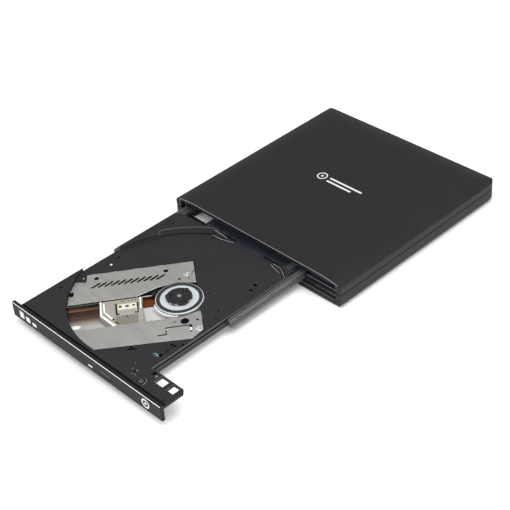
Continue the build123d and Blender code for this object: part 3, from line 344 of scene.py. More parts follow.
def make_materials():
    rolled = radians(53)
    return {
        "shell": finish("shell_plastic", (0.014, 0.014, 0.0145),
                        0.46, 2600, 0.22, 0.06, 0.2, 3.5, specular=0.17),
        "tray": finish("tray_plastic", (0.0145, 0.0145, 0.0155),
                       0.5, 1700, 0.3, 0.12, 0.18, 5.0, specular=0.24),
        "bezel": finish("bezel_plastic", (0.011, 0.011, 0.0125),
                        0.45, 2400, 0.15, 0.1, 0.3, 5.0, specular=0.12),
        "rail": finish("rail_plastic", (0.050, 0.050, 0.052),
                       0.42, 1700, 0.2, 0.1, 0.2, 5.0, specular=0.4),
        "black": finish("black_plastic", (0.009, 0.009, 0.010),
                        0.42, 1800, 0.25, 0.15, 0.15, 4.0, specular=0.35),
        # near-black for slots, holes, gaps and lines painted as shade, and for the plate screws
        "black_and_shade": finish("black_and_shade", (0.005, 0.005, 0.005), 0.7, 1500, 0.2, 0.1, 0.05, 1.5, specular=0.02),
        "shade": finish("shaded_plastic", (0.016, 0.016, 0.017),
                        0.6, 1500, 0.2, 0.1, 0.05, 1.5, specular=0.06),
        # white for glue and studs, and for rims and arcs painted on as highlights
        "gloss_white": finish("gloss_white", (0.82, 0.82, 0.80),
                              0.25, 1200, 0.1, 0.03, 0.08, 1.1, coat=0.5),
        # pale tones for the thin lines painted on as highlights along edges and rims, and for small pale
        # marks
        "bright_edge": finish("bright_edge", (0.88, 0.88, 0.89), 0.35, 1800, 0.1, 0.03, 0.1, 1.1),
        "soft_edge": finish("soft_edge", (0.11, 0.11, 0.115), 0.4, 1800, 0.1, 0.05, 0.1, 1.5),
        "pale_edge": finish("pale_edge", (0.24, 0.24, 0.25), 0.35, 1800, 0.1, 0.05, 0.1, 1.5),
        "clear": finish("indicator_plastic", (0.85, 0.86, 0.86),
                        0.25, 900, 0.1, 0.03, 0.1, 1.05, coat=0.5),
        "cream": finish("cream_plastic", (0.58, 0.55, 0.44), 0.45, 1500, 0.2, 0.06, 0.12, 1.2),
        "white": finish("white_plastic", (0.43, 0.47, 0.48),
                        0.3, 1200, 0.1, 0.03, 0.12, 1.1, coat=0.3),
        "rubber": finish("rubber", (0.016, 0.016, 0.016),
                         0.7, 1200, 0.5, 0.12, 0.12, 1.5, specular=0.35),
        "foam": finish("foam", (0.03, 0.03, 0.032), 0.9, 3000, 1.0, 0.3, 0.2, 1.3, specular=0.2),
        "zinc": brushed("zinc_sheet", (0.55, 0.55, 0.53), 0.38, 0),
        "nickel": brushed("nickel_sheet", (0.59, 0.575, 0.545), 0.42, rolled),
        "bright": finish("bright_plating", (0.60, 0.59, 0.565),
                         0.35, 1400, 0.15, 0.05, 0.15, 1.2, metallic=0.25, coat=0.3),
        "steel": brushed("ground_steel", (0.62, 0.62, 0.62), 0.22, rolled),
        "dark_steel": brushed("dark_steel", (0.20, 0.20, 0.21), 0.3, rolled),
        "screw": finish("plated_screw", (0.09, 0.09, 0.10),
                        0.32, 900, 0.2, 0.15, 0.1, 2.0, metallic=1.0),
        "cast": finish("die_cast", (0.42, 0.40, 0.36),
                       0.48, 700, 0.5, 0.12, 0.15, 1.3, metallic=0.85),
        "cover": finish("cover_paint", (0.27, 0.255, 0.22),
                        0.4, 1100, 0.15, 0.06, 0.15, 1.3, coat=0.15),
        "dark_cover": finish("dark_cover", (0.16, 0.15, 0.125),
                             0.42, 1100, 0.15, 0.06, 0.1, 1.4, coat=0.1),
        "board": circuit_board("circuit_board"),
        "chip": finish("chip_epoxy", (0.02, 0.02, 0.021), 0.55, 1500, 0.4, 0.1, 0.08, 2.0),
        "navy": finish("navy_film", (0.050, 0.058, 0.078),
                       0.32, 700, 0.12, 0.25, 0.08, 1.5, coat=0.3),
        "amber": finish("amber_film", (0.105, 0.028, 0.006),
                        0.35, 500, 0.2, 0.2, 0.08, 1.4, specular=0.15, coat=0.08),
        "ribbon": finish("ribbon_cable", (0.050, 0.058, 0.078),
                         0.32, 700, 0.12, 0.25, 0.02, 1.3, coat=0.3),
        "copper": finish("copper_windings", (0.60, 0.26, 0.12),
                         0.35, 1600, 0.8, 0.15, 0.1, 1.4, metallic=1.0),
        "print": finish("white_print", (0.80, 0.80, 0.79), 0.5, 2500, 0.1, 0.03, 0.05, 1.05),
        "silver_print": finish("silver_print", (0.62, 0.62, 0.62),
                               0.45, 2500, 0.1, 0.04, 0.05, 1.1),
        "label": finish("paper_label", (0.80, 0.80, 0.80),
                        0.65, 1800, 0.3, 0.04, 0.08, 1.05, specular=0.2),
        "tape": finish("grey_green_tape", (0.14, 0.17, 0.17), 0.45, 1800, 0.2, 0.08, 0.08, 1.2),
        "shelf": finish("coated_shelf", (0.030, 0.038, 0.052),
                        0.36, 900, 0.1, 0.15, 0.2, 3.0, specular=0.6),
        "lens": coated_lens(),
        "oily": oily_spot(),
    }


NODE_FINISH = {
    "shell": "top_shell bottom_shell",
    "rubber": "rubber_feet rubber_dampers friction_ring",
    "screw": "shell_screws drive_screws deck_screws",
    "zinc": "drive_pan drive_cover screw_bracket tray_under_cover",
    "bright": "rotor spindle_base",
    "foam": "drive_cushions",
    "navy": "pan_film",
    "shelf": "side_shelf",
    "board": "main_board bridge_board button_board",
    "chip": "board_chips eject_switch drive_plug bridge_socket usb_tongue",
    "cream": "flex_socket lens_holder sled_nut latch_hook",
    "ribbon": "flex_cable",
    "steel": "usb_socket latch_post latch_pivot spindle_shaft sled_motor",
    "dark_steel": "guide_rods lead_screw",
    "black": "left_guide right_guide hub_cap claw_1 claw_2 claw_3 traverse_frame",
    "rail": "left_rail right_rail",
    "black_and_shade": "plate_screws",
    "tray": "tray_deck",
    "bezel": "front_bezel eject_button",
    "clear": "indicator_lens",
    "nickel": "upper_cover_plate lower_cover_plate",
    "copper": "stator",
    "white": "turntable",
    "cast": "pickup_sled",
    "cover": "pickup_cover",
    "dark_cover": "actuator_cover",
    "amber": "pickup_flex",
    "lens": "objective_lens",
}


def paint_nodes(materials):
    for key, names in NODE_FINISH.items():
        for name in names.split():
            for slot in NODES[name].material_slots:
                slot.material = materials[key]


# ---------------------------------------------------------------- pieces
def piece(name, mesh, material, body):
    """A visible piece on a body of the mechanism, with its material in a slot."""
    made = bpy.data.objects.new(name, mesh)
    bpy.context.scene.collection.objects.link(made)
    mesh.materials.append(material)
    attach(made, body)


def slab_mesh(name, outlines, low, high, soft=0.0, axis="Z"):
    """Closed flat bodies on outlines of (x, y) points in metres, with edges softened by soft.

    Axis Y stands them up: low and high are places in y, and the outlines hold (x, z) points.
    """
    mesh = bpy.data.meshes.new(name)
    body = bmesh.new()
    for outline in outlines:
        if axis == "Z":
            ring = [body.verts.new((x, y, low)) for x, y in outline]
            travel = Vector((0, 0, high - low))
        else:
            ring = [body.verts.new((x, low, z)) for x, z in outline]
            travel = Vector((0, high - low, 0))
        face = body.faces.new(ring)
        moved = bmesh.ops.extrude_face_region(body, geom=[face])["geom"]
        verts = [part for part in moved if isinstance(part, bmesh.types.BMVert)]
        bmesh.ops.translate(body, verts=verts, vec=travel)
    bmesh.ops.recalc_face_normals(body, faces=body.faces)
    if soft:
        sharp = [edge for edge in body.edges if edge.calc_face_angle(0) > 0.5]
        bmesh.ops.bevel(body, geom=sharp, offset=soft, segments=2, affect="EDGES", clamp_overlap=True)
    body.to_mesh(mesh)
    body.free()
    return mesh


def skin_mesh(name, rows, thick, smooth=False):
    """A thin sheet over rows of points, its thickness laid on from the side that faces up."""
    mesh = bpy.data.meshes.new(name)
    body = bmesh.new()
    grid = [[body.verts.new(point) for point in row] for row in rows]
    for one, two in zip(grid, grid[1:]):
        for a, b, c, d in zip(one, two, two[1:], one[1:]):
            body.faces.new((a, b, c, d))
    skin = list(body.faces)
    bmesh.ops.recalc_face_normals(body, faces=skin)
    if skin[0].normal.z < 0:
        bmesh.ops.reverse_faces(body, faces=skin)
    bmesh.ops.solidify(body, geom=skin, thickness=thick)
    if smooth:
        for face in body.faces:
            face.smooth = True
    body.to_mesh(mesh)
    body.free()
    return mesh


def arc_points(centre, radius, start, end, count):
    return [
        (centre[0] + radius * cos(start + (end - start) * i / count),
         centre[1] + radius * sin(start + (end - start) * i / count))
        for i in range(count + 1)
    ]


def dot_outline(centre, radius, count=16, last=0.4):
    """Outline of a round spot; last is the turn of its closing side, in radians."""
    return arc_points(centre, radius, 0, 2 * pi - last, count)


def ring_outline(centre, inner, outer, start=0, end=2 * pi - 0.001, count=40):
    """Outline of a band between two radii, from one angle to another, or all but closed."""
    return arc_points(centre, outer, start, end, count) + arc_points(centre, inner, end, start, count)


def bar_outline(x, y):
    """A rectangle from its ends in x and in y."""
    return [(x[0], y[0]), (x[1], y[0]), (x[1], y[1]), (x[0], y[1])]


def rounded_bar(x, y, radius):
    """A rectangle with rounded corners."""
    corners = ((x[1] - radius, y[1] - radius, 0), (x[0] + radius, y[1] - radius, 1),
               (x[0] + radius, y[0] + radius, 2), (x[1] - radius, y[0] + radius, 3))
    points = []
    for cx, cy, quarter in corners:
        points += arc_points((cx, cy), radius, quarter * pi / 2, (quarter + 1) * pi / 2, 5)
    return points


def bead(name, points, radius, material, body):
    """A thin raised line through points, as a smooth round bead."""
    curve = bpy.data.curves.new(name, "CURVE")
    curve.dimensions = "3D"
    curve.bevel_depth = radius
    curve.bevel_resolution = 3
    curve.use_fill_caps = True
    spline = curve.splines.new("POLY")
    spline.points.add(len(points) - 1)
    for point, place in zip(spline.points, points):
        point.co = (*place, 1)
    line = bpy.data.objects.new(name, curve)
    bpy.context.scene.collection.objects.link(line)
    curve.materials.append(material)
    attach(line, body)


def path_outline(points):
    """Outline in plan from points given along and across the pickup's path."""
    return [tuple(on_path(s, t, 0).xy) for s, t in points]


# ---------------------------------------------------------------- marks
def add_marks(materials):
    """Plain shapes where the object carries its marks."""
    # a ring, a dot and two bars printed on the top
    middle = (CASE_LOW.y + CASE_HIGH.y) / 2
    centre = (-0.0135, middle + 0.0028)
    outlines = [ring_outline(centre, 0.0027, 0.0035)]
    outlines.append(dot_outline(centre, 0.0009, 20, 0.3))
    for i, length in enumerate((0.0262, 0.0200)):
        y = centre[1] + 0.0011 - 0.0034 * i
        outlines.append(rounded_bar((-0.0078, -0.0078 + length), (y - 0.0007, y + 0.0007), 0.0006))
    top = CASE_HIGH.z
    mesh = slab_mesh("top_mark", outlines, top - PRINT, top + PRINT)
    piece("top_mark", mesh, materials["silver_print"], "case")
    # bars on the left of the bezel, a ring and dot on its right
    face = BEZEL_LOW.y
    middle = (BEZEL_LOW.z + BEZEL_HIGH.z) / 2
    left = BEZEL_LOW.x
    bars = [rounded_bar((left + 0.0068 + 0.0058 * i, left + 0.0108 + 0.0058 * i),
                        (middle - 0.0024, middle + 0.0024 - 0.0012 * i), 0.0008) for i in range(3)]
    mesh = slab_mesh("bezel_mark_left", bars, face - PRINT, face + 0.0001, axis="Y")
    piece("bezel_mark_left", mesh, materials["print"], "tray")
    right = BEZEL_HIGH.x
    centre = (right - 0.0125, middle)
    rings = [ring_outline(centre, 0.0021, 0.0031)]
    rings.append(dot_outline(centre, 0.0009, 20, 0.3))
    mesh = slab_mesh("bezel_mark_right", rings, face - PRINT, face + 0.0001, axis="Y")
    piece("bezel_mark_right", mesh, materials["print"], "tray")


def add_labels(materials):
    """A blank label and a strip of tape on the pan's film."""
    for name, x, y, key in (("pan_label", (-0.0566, -0.0460), (-0.0037, 0.0028), "label"),
                            ("pan_tape", (0.0224, 0.0270), (-0.0037, 0.0034), "tape")):
        mesh = slab_mesh(name, [rounded_bar(x, y, 0.0003)], FILM_TOP, FILM_TOP + 0.0001)
        piece(name, mesh, materials[key], "case")


# ---------------------------------------------------------------- pickup unit
def add_plate_details(materials):
    """Embossings, tabs, slots and a clip of the two cover plates, in mm along and across the path."""
    # curled embossings at the right ends of the two plates
    for number, (s, t) in enumerate(((6.4, 21.4), (8.6, -28.2))):
        for turn, radius in enumerate((1.0, 1.9)):
            points = []
            for i in range(19):
                angle = radians(40 + 250 * i / 18 + 120 * turn)
                points.append(on_path(s + radius * cos(angle), t + radius * sin(angle), PLATE_TOP))
            name = f"plate_curl_{number}_{turn}"
            bead(name, points, 0.00024, materials["bright"], "tray")
    # small tabs along the outer edges
    spots = [(s, 33.0) for s in (-47, -36, -23, -9)]
    spots += [(s, -34.6 - (s + 51) * 0.0386) for s in (-42, -33, -24, -16, -8)]
    outlines = []
    for s, t in spots:
        side = 1 if t > 0 else -1
        points = [(s - 2.4, t), (s + 2.4, t), (s + 2.1, t + 0.5 * side), (s - 2.1, t + 0.5 * side)]
        outlines.append(path_outline(points))
    mesh = slab_mesh("plate_tabs", outlines, PLATE_TOP - 0.0004, PLATE_TOP - 0.0001, 0.00005)
    piece("plate_tabs", mesh, materials["nickel"], "tray")
    # black slabs over the slots of the two plates, painted shade in the openings
    slots = []
    turn = Matrix.Rotation(radians(37), 2)
    corners = [turn @ Vector(corner) for corner in bar_outline((-3.2, 3.2), (-0.55, 0.55))]
    for i in range(11):
        slots.append(path_outline([(-47.1 + 3.78 * i + c.x, 22.2 + c.y) for c in corners]))
    for s, t in (((-9.8, 4.6), (-24.8, -24.0)), ((3.5, 5.0), (-26.1, -24.8)),
                 ((3.5, 4.6), (-30.3, -29.2)), ((-14.4, -9.5), (-30.4, -29.5))):
        slots.append(path_outline(bar_outline(s, t)))
    mesh = slab_mesh("plate_slots", slots, PLATE_TOP - 0.00005, PLATE_TOP + PRINT)
    piece("plate_slots", mesh, materials["black_and_shade"], "tray")
    bright = path_outline(bar_outline((3.7, 4.8), (-28.9, -26.7)))
    mesh = slab_mesh("tongue_end", [bright], PLATE_TOP - 0.00005, PLATE_TOP + 0.00004)
    piece("tongue_end", mesh, materials["bright_edge"], "tray")
    # black clip in the notch at the plate's corner, with its pale stud
    clip = path_outline([(-58.9, 28.5), (-52.9, 27.2), (-52.4, 31.2), (-55.1, 35.4), (-58.2, 31.6)])
    mesh = slab_mesh("plate_clip", [clip], PLATE_TOP - 0.0004, PLATE_TOP + 0.0012, 0.0002)
    piece("plate_clip", mesh, materials["black"], "tray")
    stud = on_path(-53.9, 28.6, 0)
    mesh = slab_mesh("clip_stud", [dot_outline(stud.xy, 0.00045)],
                     PLATE_TOP + 0.0011, PLATE_TOP + 0.0014, 0.0001)
    piece("clip_stud", mesh, materials["white"], "tray")


def sheet_mesh(name, s_range, t_range, height, steps=24):
    """A thin curved sheet over the pickup's path; height gives z in metres at shares 0..1 of s and t."""
    rows = []
    for i in range(steps + 1):
        a = i / steps
        s = s_range[0] + (s_range[1] - s_range[0]) * a
        row = []
        for j in range(steps + 1):
            b = j / steps
            t = t_range[0] + (t_range[1] - t_range[0]) * b
            row.append(on_path(s, t, height(a, b)))
        rows.append(row)
    return skin_mesh(name, rows, 0.12 * MM, smooth=True)


def add_channel(materials):
    """The films and the drop of glue on the floor of the pickup's channel; the channel film's tone holds
    a painted reflection and a painted shadow.
    """
    low = UNDER_TOP + 0.0002
    width = (-16.6, 12.6)
    # tone across the channel from low t: a reflection of the flex painted on the metal floor, pale to
    # dark brown, then a near-black line painted as the shadow of the flex's edge, then the brown flex
    stops = [(0.0, (0.40, 0.385, 0.37)), (0.30, (0.38, 0.36, 0.34)), (0.42, (0.22, 0.175, 0.15)),
             (0.52, (0.06, 0.034, 0.024)), (0.62, (0.045, 0.022, 0.013)), (0.74, (0.05, 0.024, 0.015)),
             (0.77, (0.009, 0.006, 0.005)), (0.80, (0.19, 0.11, 0.075)), (1.0, (0.16, 0.09, 0.06))]
    film = banded("channel_film", stops, *width, rough=0.28, coat=0.2)
    mesh = sheet_mesh("channel_film", (-65.5, -24.5), width, lambda a, b: low + 0.0001 * sin(pi * b))
    piece("channel_film", mesh, film, "tray")
    mesh = sheet_mesh("spindle_flex", (-23.0, -13.6), (1.5, 11.0),
                      lambda a, b: low + 0.0002 + 0.0003 * sin(pi * a))
    piece("spindle_flex", mesh, materials["amber"], "tray")
    glue = [(-60.0 + 2.9 * cos(0.26 * i), -8.2 + 1.8 * sin(0.26 * i)) for i in range(24)]
    mesh = slab_mesh("channel_glue", [path_outline(glue)], low + 0.0002, low + 0.0005, 0.0001)
    piece("channel_glue", mesh, materials["gloss_white"], "tray")


def add_pickup_details(materials):
    """Rims painted white as highlights, plates, and dark gaps painted as shade on the pickup, outlined
    in mm along and across the path.
    """
    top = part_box("pickup_cover")[1].z
    bar_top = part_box("lens_holder")[1].z
    parts = {
        # the raised rims of the cover, painted white as its highlights
        "sled_outer_rim": ("gloss_white", top + 0.00025, [
            [(-45.4, 6.5), (-45.4, -6.0), (-38.2, -16.5), (-37.0, -16.5), (-37.0, -15.6),
             (-44.5, -5.2), (-44.5, 6.5)]]),
        "sled_inner_rim": ("gloss_white", top + 0.0002, [
            [(-43.6, 5.0), (-43.4, -3.2), (-39.2, -9.9), (-38.5, -9.3), (-42.6, -2.8), (-42.8, 5.0)]]),
        "sled_side_plate": ("gloss_white", top + 0.0004, [
            [(-22.6, 6.5), (-22.6, -3.4), (-21.9, -3.4), (-21.9, 6.5)]]),
        "bar_bracket": ("black_and_shade", top + 0.0003, [
            [(-36.6, 3.4), (-36.5, -6.6), (-34.3, -6.6), (-34.3, -5.9), (-35.9, -5.9), (-35.9, 3.4)],
            [(-23.5, 2.4), (-23.8, -6.7), (-26.0, -6.7), (-26.0, -6.0), (-24.4, -6.0), (-24.2, 2.4)],
            [(-30.9, -9.4), (-29.9, -8.2), (-29.6, -8.5), (-30.6, -9.7)],
            [(-38.6, -10.4), (-37.8, -9.6), (-37.4, -10.2), (-38.2, -11.0)],
            [(-37.4, -12.6), (-35.9, -14.6), (-34.9, -14.5), (-35.6, -14.0), (-36.9, -12.3)]]),
        "bar_terminals": ("black_and_shade", top + 0.00025, [
            bar_outline((s, s + 0.7), (4.6, 5.3)) for s in (-33.2, -31.9, -29.4, -27.3, -25.2)]),
    }
    for name, (key, high, outlines) in parts.items():
        placed = [path_outline(outline) for outline in outlines]
        mesh = slab_mesh(name, placed, top - 0.0001, high, 0.00004)
        piece(name, mesh, materials[key], "pickup")
    holder = path_outline(bar_outline((-35.4, -24.8), (-6.9, -2.6)))
    mesh = slab_mesh("holder_shield", [holder], bar_top - 0.0005, bar_top - 0.0003, 0.00004)
    piece("holder_shield", mesh, materials["cover"], "lens")
    dots = [dot_outline(on_path(s, 0, 0).xy, radius)
            for s, radius in ((-33.9, 0.00095), (-26.4, 0.0007))]
    mesh = slab_mesh("bar_dots", dots, bar_top - 0.0002, bar_top + 0.00005)
    piece("bar_dots", mesh, materials["black_and_shade"], "lens")


def add_spindle_details(materials):
    """The motor's collar painted white as a highlight, the ribs and ring of the hub, and white arcs
    painted as glints on the hub's claw springs.
    """
    centre = SPINDLE.xy
    start = ALONG.xy.angle_signed(Vector((1, 0)))
    base = RING_TOP - 0.0027
    # white arc painted as the crescent highlight on the metal round the motor
    collar = ring_outline(centre, 0.01435, 0.0149, start + radians(186), start + radians(262), 30)
    mesh = slab_mesh("motor_collar_highlight", [collar], base, base + 0.0015, 0.00008)
    piece("motor_collar_highlight", mesh, materials["gloss_white"], "tray")
    hub_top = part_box("hub_cap")[1].z
    ribs, rib_count = [], 18
    for i in range(rib_count):
        angle = 2 * pi * i / rib_count + 0.1
        out, side = Vector((cos(angle), sin(angle))), Vector((-sin(angle), cos(angle)))
        ribs.append([tuple(centre + out * r + side * w)
                     for r, w in bar_outline((0.0032, 0.0044), (-0.00012, 0.00012))])
    mesh = slab_mesh("hub_ribs", ribs, hub_top - 0.0001, hub_top + 0.00015, 0.00003)
    piece("hub_ribs", mesh, materials["black"], "spindle")
    ring = ring_outline(centre, 0.0019, 0.0024)
    mesh = slab_mesh("hub_ring", [ring], hub_top - 0.0001, hub_top + 0.00012, 0.00003)
    piece("hub_ring", mesh, materials["black"], "spindle")
    # white arcs painted as glints on the hub's silver claw springs
    for number, angle in enumerate((268, 296, 4)):
        arc = arc_points(centre, 0.0074, radians(angle), radians(angle + 18), 12)
        bead(f"hub_spring_glint_{number}", [(x, y, hub_top - 0.0009) for x, y in arc], 0.00016,
             materials["gloss_white"], "spindle")


# ---------------------------------------------------------------- tray
def slope_point(angle, share, low, high, inset=0.0):
    """A point on the sloping recess wall, at an angle in degrees and a share of its height."""
    lean = Vector((cos(SLOPE_TURN), sin(SLOPE_TURN))) * SLOPE_LEAN * share
    out = Vector((cos(radians(angle)), sin(radians(angle))))
    plan = SPINDLE.xy + lean + out * (RECESS_RADIUS - inset)
    return Vector((plan.x, plan.y, low + (high - low) * share))


def slope_mesh(name, low, high):
    """A thin skin on the sloping part of the recess wall."""
    steps, inset = 24, 0.08 * MM
    shares = [0.02 + 0.22 * j for j in range(5)]
    angles = [SLOPE_START + SLOPE_SWEEP * i / steps for i in range(steps + 1)]
    rows = [[slope_point(angle, share, low, high, inset) for share in shares] for angle in angles]
    return skin_mesh(name, rows, 0.05 * MM)


def add_tray_lines(materials):
    """Folds, clips, the slope painted dark as shade and the small marks of the tray's moulding."""
    level = FLOOR_TOP
    lines = {
        "fold_1": [(0.0257, -0.0459), (0.0300, -0.0500), (0.0337, -0.0549), (0.0357, -0.0603)],
        "fold_2": [(-0.0118, -0.0420), (-0.0095, -0.0475), (-0.0072, -0.0530)],
    }
    for name, points in lines.items():
        line = [(x, y, level) for x, y in points]
        bead(name, line, 0.00012, materials["tray"], "tray")
    # spring clips moulded into the back rim: their ridges painted pale as highlights, with a painted
    # shadow bead beside each
    top = DECK_HIGH.z
    clips = {
        "rim_clip_0": [(-0.0274, -0.0128, top), (-0.0230, -0.0126, top), (-0.0184, -0.0112, level)],
        "rim_clip_1": [(-0.0262, -0.0157, level + 0.0010), (-0.0201, -0.0143, level),
                       (-0.0117, -0.0119, level)],
        "rim_clip_2": [(0.0211, -0.0110, level), (0.0265, -0.0112, level), (0.0310, -0.0133, level),
                       (0.0354, -0.0161, level)],
        "rim_clip_3": [(0.0201, -0.0122, level), (0.0237, -0.0135, level), (0.0300, -0.0150, level)],
    }
    for name, points in clips.items():
        bead(name, points, 0.00017, materials["pale_edge"], "tray")
        shade = [(x, y - 0.0005, z - 0.0001) for x, y, z in points]
        bead(name + "_shade", shade, 0.0002, materials["black_and_shade"], "tray")
    # sloping part of the recess wall at the back left, painted dark as shade, with a painted highlight
    # along its top and a painted shadow line at its foot
    mesh = slope_mesh("back_slope", level + 0.0001, top)
    piece("back_slope", mesh, materials["shade"], "tray")
    rim = [slope_point(angle, 1.0, level, top) for angle in SLOPE_ANGLES]
    bead("back_slope_edge", rim, 0.00013, materials["soft_edge"], "tray")
    foot = [slope_point(angle, 0.05, level, top, 0.0001) for angle in SLOPE_ANGLES]
    bead("back_slope_foot", foot, 0.0003, materials["black_and_shade"], "tray")
    # small slots, studs and holes of the moulding, the slots and holes painted black as shade
    along = Vector((cos(radians(45)), sin(radians(45))))
    side = Vector((-along.y, along.x))
    centre = Vector((0.0159, -0.1142))
    bar = [tuple(centre + along * a + side * b)
           for a, b in bar_outline((-0.0026, 0.0026), (-0.0007, 0.0007))]
    spots = [bar] + [dot_outline((x, y), radius, last=0.3) for x, y, radius in
                     ((0.0317, -0.0972, 0.0011), (0.0319, -0.1032, 0.0006), (0.0315, -0.1018, 0.0007),
                      (0.0344, -0.0935, 0.0009), (0.0283, -0.0613, 0.0007), (-0.0518, -0.0739, 0.0014))]
    mesh = slab_mesh("deck_spots", spots, level - 0.0001, level + PRINT)
    piece("deck_spots", mesh, materials["black_and_shade"], "tray")
    stud = dot_outline((-0.0518, -0.0739), 0.00075, last=0.3)
    mesh = slab_mesh("deck_stud", [stud], level - 0.00005, level + 0.00006)
    piece("deck_stud", mesh, materials["gloss_white"], "tray")


def add_edge_lines(materials):
    """Thin paler lines painted along moulded edges as highlights."""
    front, top = CASE_LOW.y + 0.0001, CASE_HIGH.z
    flat, run, drop, steps = CASE_HIGH.x - 0.016, 0.0144, 0.00205, 12   # where the lid curves down
    arc = [(flat + run * i / steps, top - 0.0001 - drop * (i / steps) ** 2) for i in range(steps)]
    points = [(-x, front, z) for x, z in reversed(arc)] + [(x, front, z) for x, z in arc]
    bead("case_front_edge", points, 0.00016, materials["pale_edge"], "case")
    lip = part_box("bottom_shell")[0].z + 0.0032
    ends = (CASE_LOW.x + 0.0045, CASE_HIGH.x - 0.0045)
    bead("opening_lip", [(x, front, lip) for x in ends], 0.00014, materials["soft_edge"],
         "case")
    low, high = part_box("side_shelf")
    bead("shelf_edge", [(x, low.y, high.z - 0.0001) for x in (low.x, high.x)], 0.00016,
         materials["pale_edge"], "case")
    radius = 0.00018
    y, z = BEZEL_LOW.y + radius, BEZEL_HIGH.z - radius
    points = [(x, y, z) for x in (BEZEL_LOW.x + 0.0004, BEZEL_HIGH.x - 0.0004)]
    bead("bezel_top_edge", points, radius, materials["bright_edge"], "tray")
    radius = 0.00014
    x, y = BEZEL_LOW.x + radius, BEZEL_LOW.y + radius
    points = [(x, y, z) for z in (BEZEL_LOW.z + 0.0006, BEZEL_HIGH.z - 0.0005)]
    bead("bezel_side_edge", points, radius, materials["soft_edge"], "tray")
    low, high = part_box("eject_button")
    points = [(x, low.y + 0.0001, high.z - 0.0001) for x in (low.x + 0.0004, high.x - 0.0004)]
    bead("button_edge", points, 0.00012, materials["pale_edge"], "eject_button")
    # the right side of the tray, and the top of the left rail
    side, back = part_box("tray_under_cover")[1].x + 0.003, DECK_HIGH.y - 0.0005
    levels = ((FLOOR_TOP, -0.1175), (FLOOR_TOP - 0.0027, -0.1178), (DECK_LOW.z, -0.117))
    for number, (z, start) in enumerate(levels):
        bead(f"tray_side_line_{number}", [(side, start, z), (side, back, z)], 0.00013,
             materials["soft_edge"], "tray")
    low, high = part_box("left_rail")
    points = [(low.x + 0.0022, y, high.z) for y in (low.y + 0.003, low.y + 0.033)]
    bead("left_rail_edge", points, 0.00014, materials["soft_edge"], "left_rail")
    low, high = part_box("right_rail")
    for number, x in enumerate((high.x - 0.0024, high.x - 0.0002)):
        points = [(x, low.y + 0.0016, high.z), (x, high.y - 0.0005, high.z)]
        bead(f"right_rail_edge_{number}", points, 0.00014, materials["soft_edge"],
             "right_rail")


def add_ledge_details(materials):
    """A painted shadow in the gap behind the bezel, painted shade in a notch, rims of the ledge's
    windows and boss, and marks beside them.
    """
    top = DECK_HIGH.z
    boss = (0.0414, -0.1289)
    gap = bar_outline((BEZEL_LOW.x + 0.0055, BEZEL_HIGH.x - 0.0004), (DECK_LOW.y, DECK_LOW.y + 0.0021))
    notch = [(0.0396, -0.1216), (0.0427, -0.1212), (0.0434, -0.1194), (0.0414, -0.1189)]
    # black strips painted as shade: the gap behind the bezel and the notch's floor
    mesh = slab_mesh("bezel_gap_shadow", [gap], top - 0.0001, top + PRINT)
    piece("bezel_gap_shadow", mesh, materials["black_and_shade"], "tray")
    mesh = slab_mesh("ledge_notch", [notch], top - 0.0007, top - 0.0006)
    piece("ledge_notch", mesh, materials["black_and_shade"], "tray")
    rims = {
        "window_rim_0": bar_outline((0.0470, 0.0537), (-0.1247, -0.1189)),
        "window_rim_1": bar_outline((0.0565, 0.0618), (-0.1246, -0.1190)),
        "boss_arc": arc_points(boss, 0.0029, radians(-20), radians(75), 16),
        "boss_ring": arc_points(boss, 0.0010, 0, 2 * pi, 20),
    }
    for name, points in rims.items():
        closed = points + points[:1] if name.startswith("window") else points
        key = "pale_edge" if name.startswith("boss") else "soft_edge"
        line = [(x, y, top + 0.00012) for x, y in closed]
        bead(name, line, 0.0001, materials[key], "tray")
    spots = {
        "black_and_shade": [(0.0252, -0.1208, FLOOR_TOP, 0.0005), (0.0328, -0.1260, top, 0.0006)],
        "pale_edge": [(0.0335, -0.1248, top, 0.0004), (0.0303, -0.1253, top, 0.00025),
                      (0.0333, -0.1282, top, 0.00025), (0.0352, -0.1276, top, 0.00025),
                      (0.0259, -0.1204, FLOOR_TOP, 0.00025)],
    }
    for key, places in spots.items():
        for number, (x, y, z, radius) in enumerate(places):
            name = f"speck_{key}_{number}"
            outline = dot_outline((x, y), radius, 14)
            mesh = slab_mesh(name, [outline], z - 0.00005, z + 0.00006)
            piece(name, mesh, materials[key], "tray")


def add_sensor_spot(materials):
    """The small shiny window beside the disc recess."""
    x, y = 0.0295, -0.1089
    turns = [radians(60 * i) for i in range(6)]
    outline = [(x + 0.0020 * cos(turn), y + 0.0014 * sin(turn)) for turn in turns]
    mesh = slab_mesh("sensor_window", [outline], FLOOR_TOP - 0.0001, FLOOR_TOP + 0.00025, 0.0001)
    piece("sensor_window", mesh, materials["oily"], "tray")


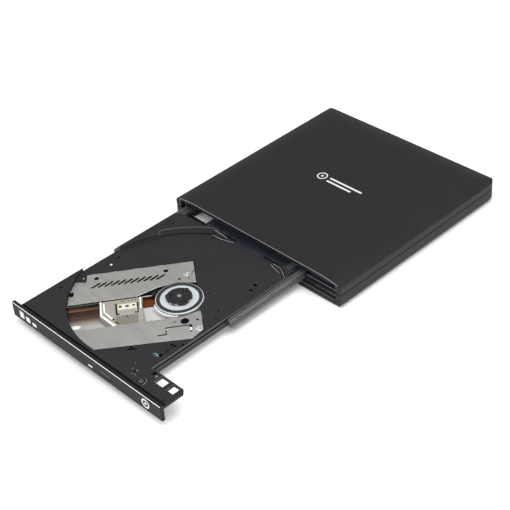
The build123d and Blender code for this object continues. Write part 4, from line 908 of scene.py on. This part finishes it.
# ---------------------------------------------------------------- flat cable between case and tray
def strip_mesh(name, x, path, thick, steps):
    """A flat strip of width x along a path of (y, z) points."""
    lengths = [0.0]
    for one, two in zip(path, path[1:]):
        lengths.append(lengths[-1] + sqrt((two[0] - one[0]) ** 2 + (two[1] - one[1]) ** 2))
    rows = []
    for i in range(steps + 1):
        want = lengths[-1] * i / steps
        k = max(j for j in range(len(path) - 1) if lengths[j] <= want + 1e-12)
        share = (want - lengths[k]) / (lengths[k + 1] - lengths[k])
        y = path[k][0] + (path[k + 1][0] - path[k][0]) * share
        z = path[k][1] + (path[k + 1][1] - path[k][1]) * share
        rows.append([(x[0] + (x[1] - x[0]) * j / 4, y, z) for j in range(5)])
    return skin_mesh(name, rows, thick)


def add_flex(materials):
    """The flat cable along the pan, its fold under the tray, and its fixed arm to the board."""
    low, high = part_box("flex_cable")
    floor = low.z + 0.00012
    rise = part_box("tray_under_cover")[0].z - 0.00003 - floor
    fold_y, bulge = -0.0292, 0.0004
    fold = [pi * i / 8 for i in range(9)]
    path = [(0.060, floor)]
    path += [(fold_y - bulge * sin(turn), floor + rise * (1 - cos(turn)) / 2) for turn in fold]
    path += [(-0.018, floor + rise)]
    mesh = strip_mesh("flat_cable", (-0.018, 0.006), path, 0.0001, 150)
    cable = bpy.data.objects.new("flat_cable", mesh)
    bpy.context.scene.collection.objects.link(cable)
    mesh.materials.append(materials["ribbon"])
    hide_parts("flex_cable")
    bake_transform(cable)
    # its fixed arm to the socket on the board
    outline = [(0.006, 0.0462), (0.0434, 0.0462), (0.0434, 0.0598),
               (-0.018, 0.0598), (-0.018, 0.0585), (0.006, 0.0585)]
    mesh = slab_mesh("flat_cable_arm", [outline], low.z + 0.00001, low.z + 0.00009)
    piece("flat_cable_arm", mesh, materials["ribbon"], "case")
    end = bar_outline((0.0433, 0.0455), (0.0462, 0.0598))
    mesh = slab_mesh("flat_cable_end", [end], high.z + 0.0011, high.z + 0.0013)
    piece("flat_cable_end", mesh, materials["ribbon"], "case")


add_camera()
add_studio()
MATERIALS = make_materials()
paint_nodes(MATERIALS)
for add_details in (add_marks, add_labels, add_plate_details, add_channel, add_pickup_details,
                    add_spindle_details, add_tray_lines, add_edge_lines, add_ledge_details,
                    add_sensor_spot, add_flex):
    add_details(MATERIALS)
